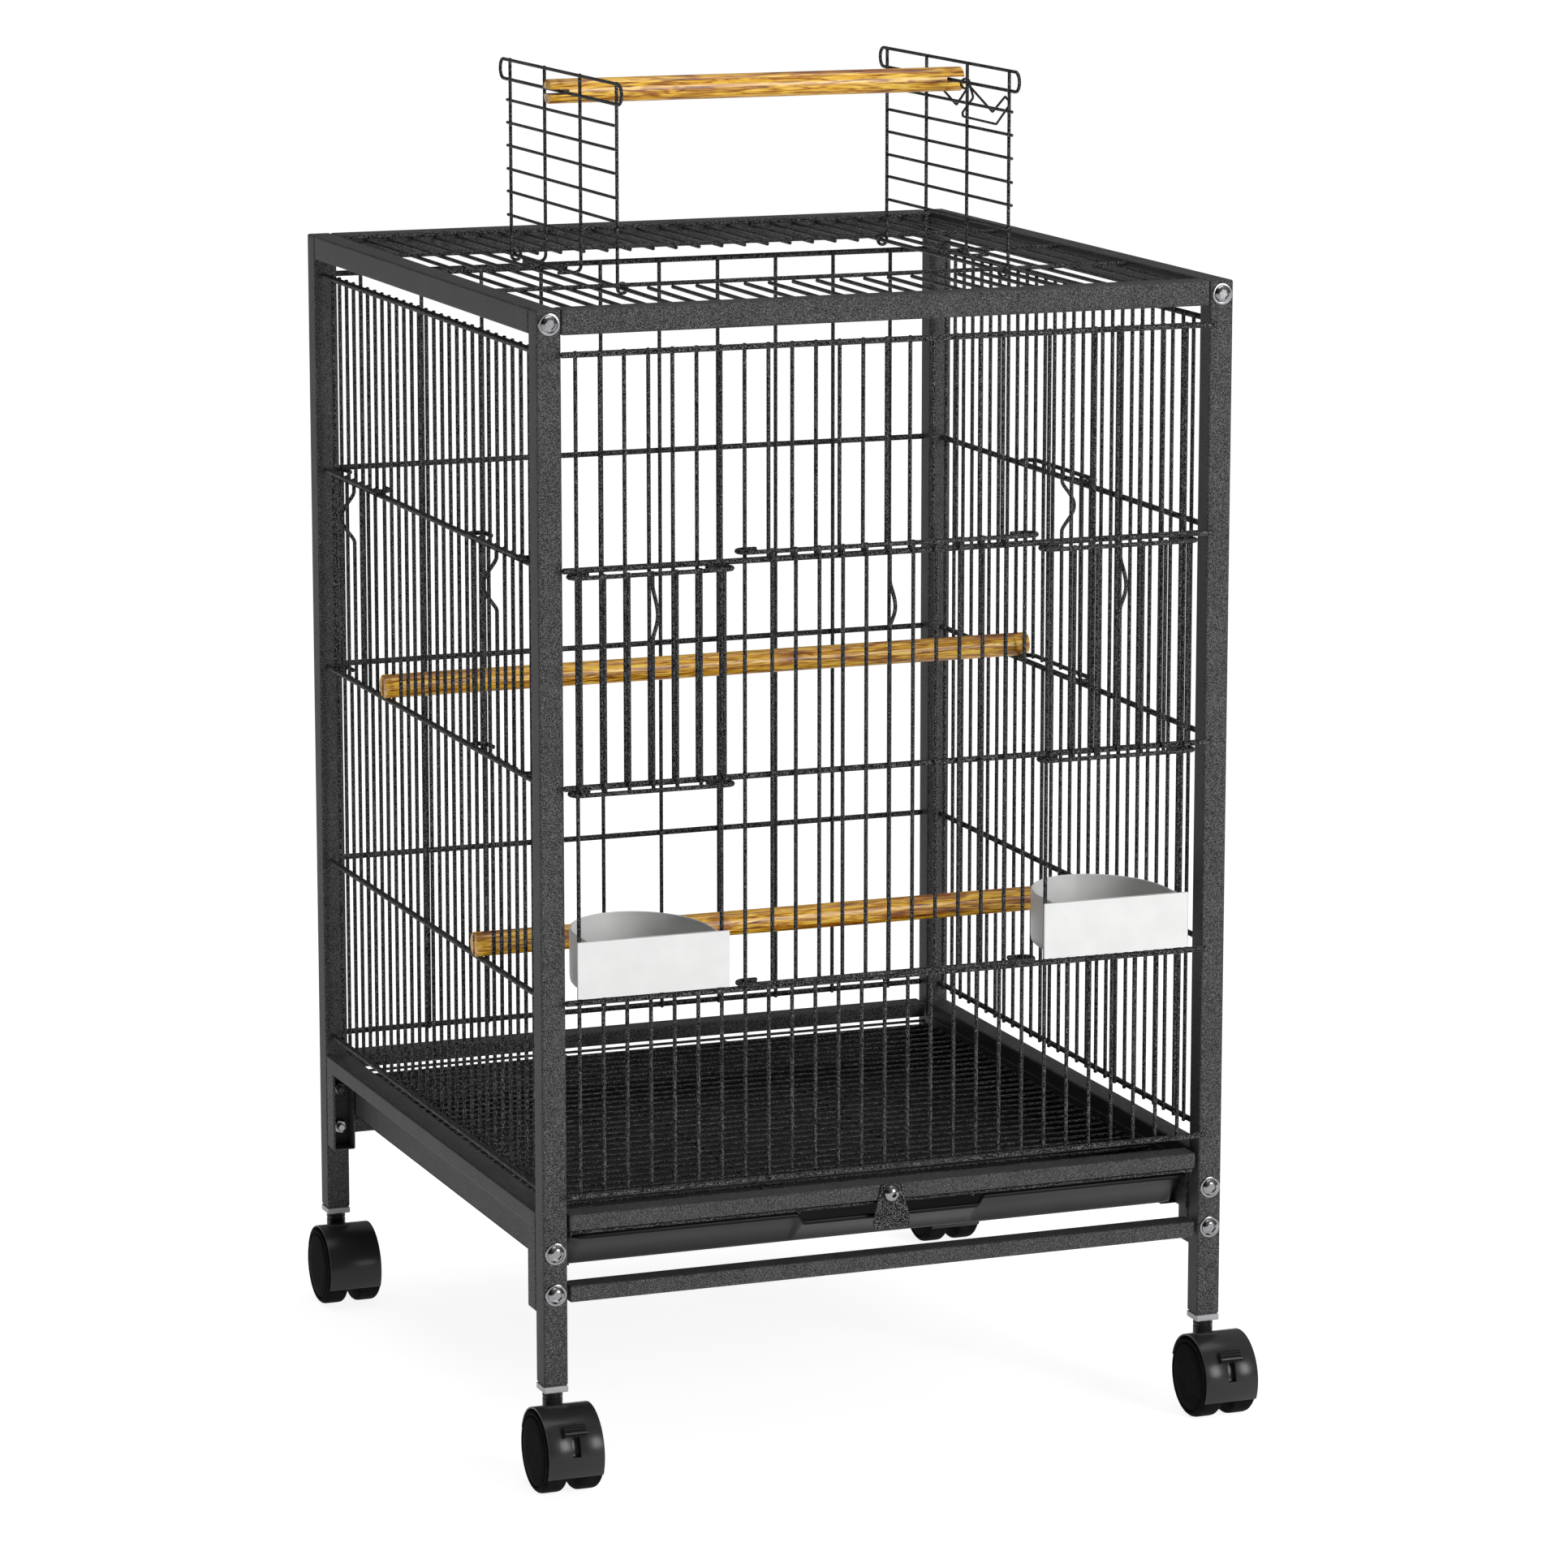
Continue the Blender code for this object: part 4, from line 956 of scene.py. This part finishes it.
def brake(corner, x, axle_y):
    """The ribbed pad of the brake lever, on an arm that runs in the hood's slot."""
    start, end = BRAKE_PAD
    outer = []
    for k in range(29):
        turn = math.radians(start + (end - start) * k / 28)
        radius = 0.0298 + 0.0006 * math.cos(2 * math.pi * k / 5.6)
        outer.append((radius * math.cos(turn), radius * math.sin(turn)))
    pad = outer + polar(HOOD_R + 0.0004, end, start, 8)
    arm = polar(0.0288, start, end, 6) + polar(0.0222, end, start, 6)
    bm = bmesh.new()
    for outline, half in ((pad, 0.007), (arm, 0.002)):
        prism(bm, round_axle(outline, axle_y), x - half, x + half)
    body = f"{corner}_brake"
    show(f"{body}_lever", bm, "black_plastic", body, [body], sharp=50.0)


def plug(corner):
    """The plastic foot insert, its flange eased and chamfered towards the stem."""
    low, high = (Vector(c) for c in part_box(f"{corner}_plug"))
    bm = bmesh.new()
    rounded_box(bm, low, (high.x, high.y, low.z + 0.0037), 0.0005)
    inset = Vector((0.0016, 0.0016, 0))
    rounded_box(bm, low + inset + Vector((0, 0, 0.0030)), high - inset, 0.0005)
    weigh(show(f"{corner}_plug_insert", bm, "grey_plastic", "cage", [f"{corner}_plug"]))


def casters():
    """Twin-wheel casters trailing towards the front, the front pair with brakes."""
    for side, x in (("left", -POST_X), ("right", POST_X)):
        for end, depth in (("front", TUBE / 2), ("rear", DEPTH - TUBE / 2)):
            corner = f"{end}_{side}"
            stem_y = FRONT_Y + depth
            hood(corner, x, stem_y - TRAIL)
            stem(corner, x, stem_y)
            wheels(corner, x, stem_y - TRAIL)
            plug(corner)
            if end == "front":
                brake(corner, x, stem_y - TRAIL)


# ---- camera, floor and light ---------------------------------------------------------------------
CAMERA_PLACE = (-1.3513, -3.5164, 1.1122)
CAMERA_AZIMUTH = 21.195  # degrees from straight back towards +X
CAMERA_ELEVATION = 11.136  # degrees that it looks down
CAMERA_LENS = 140.89


def camera():
    """The photo's camera, solved from the corners of the frame."""
    data = bpy.data.cameras.new("camera")
    data.lens = CAMERA_LENS
    data.sensor_width = 36.0
    data.clip_end = 200.0
    thing = bpy.data.objects.new("camera", data)
    thing.location = CAMERA_PLACE
    thing.rotation_euler = (math.radians(90 - CAMERA_ELEVATION), 0.0, math.radians(-CAMERA_AZIMUTH))
    bpy.context.scene.collection.objects.link(thing)
    bpy.context.scene.camera = thing


FLOOR_GLOW = 0.88  # a lit table, so that the cage throws only a faint shadow


def floor():
    """A plain white floor that runs past the horizon of the picture."""
    bm = bmesh.new()
    bmesh.ops.create_grid(bm, x_segments=4, y_segments=4, size=60.0)
    mesh = mesh_of(bm, "floor")
    nodes = Nodes("pale_floor")
    cloud = nodes.noise(0.8, detail=2.0)
    tint = nodes.ramp(cloud, (0.3, grey(0.40)), (0.7, grey(0.42)))
    nodes.set(Emission_Color=(1.0, 1.0, 1.0, 1.0), Emission_Strength=FLOOR_GLOW)
    mesh.materials.append(nodes.set(Base_Color=tint, Roughness=0.9, Specular_IOR_Level=0.1))
    thing = bpy.data.objects.new("floor", mesh)
    bpy.context.scene.collection.objects.link(thing)


def area_light(name, place, target, size, power):
    """A rectangular lamp of that size in metres and power in watts, aimed at target."""
    data = bpy.data.lights.new(name, "AREA")
    data.shape = "RECTANGLE"
    data.size, data.size_y = size
    data.energy = power
    thing = bpy.data.objects.new(name, data)
    thing.location = place
    thing.rotation_euler = (Vector(target) - Vector(place)).to_track_quat("-Z", "Y").to_euler()
    bpy.context.scene.collection.objects.link(thing)


HORIZON_LIGHT, ZENITH_LIGHT = 0.08, 0.55
DARK_SIDE = 0.08  # how much of that light is left towards -X


def sky():
    """A studio that is brightest overhead and dark on the left, so that paint and metal mirror both."""
    world = bpy.data.worlds.new("studio")
    world.use_nodes = True
    tree = world.node_tree
    place = tree.nodes.new("ShaderNodeTexCoord")
    axes = tree.nodes.new("ShaderNodeSeparateXYZ")
    rise = tree.nodes.new("ShaderNodeMapRange")
    rise.inputs["To Min"].default_value = HORIZON_LIGHT
    rise.inputs["To Max"].default_value = ZENITH_LIGHT
    tree.links.new(place.outputs["Generated"], axes.inputs["Vector"])
    tree.links.new(axes.outputs["Z"], rise.inputs["Value"])
    across = tree.nodes.new("ShaderNodeMapRange")
    for key, value in (("From Min", -0.75), ("From Max", 0.1), ("To Min", DARK_SIDE), ("To Max", 1.0)):
        across.inputs[key].default_value = value
    both = tree.nodes.new("ShaderNodeMath")
    both.operation = "MULTIPLY"
    tree.links.new(axes.outputs["X"], across.inputs["Value"])
    tree.links.new(rise.outputs["Result"], both.inputs[0])
    tree.links.new(across.outputs["Result"], both.inputs[1])
    tree.links.new(both.outputs["Value"], tree.nodes["Background"].inputs["Strength"])
    tree.nodes["Background"].inputs["Color"].default_value = (1.0, 1.0, 1.0, 1.0)
    bpy.context.scene.world = world


def studio():
    """Soft daylight: the key from the front right, a broad light overhead and the studio's walls."""
    bpy.context.scene.view_settings.view_transform = "Standard"
    sky()
    middle = (0.0, 0.0, 0.4)
    area_light("key", (1.35, -3.0, 1.25), middle, (0.9, 1.4), 65.0)
    area_light("top", (0.1, -0.2, 3.2), middle, (2.6, 1.2), 28.0)


# ---- the whole cage ------------------------------------------------------------------------------
camera()
floor()
studio()
tubes()
base_frames()
bolts()
front_grille()
side_grilles()
rear_grille()
roof_grille()
doors()
play_flaps()
play_latch()
perches()
cups()
tray_parts()
grate()
tab_screw()
casters()
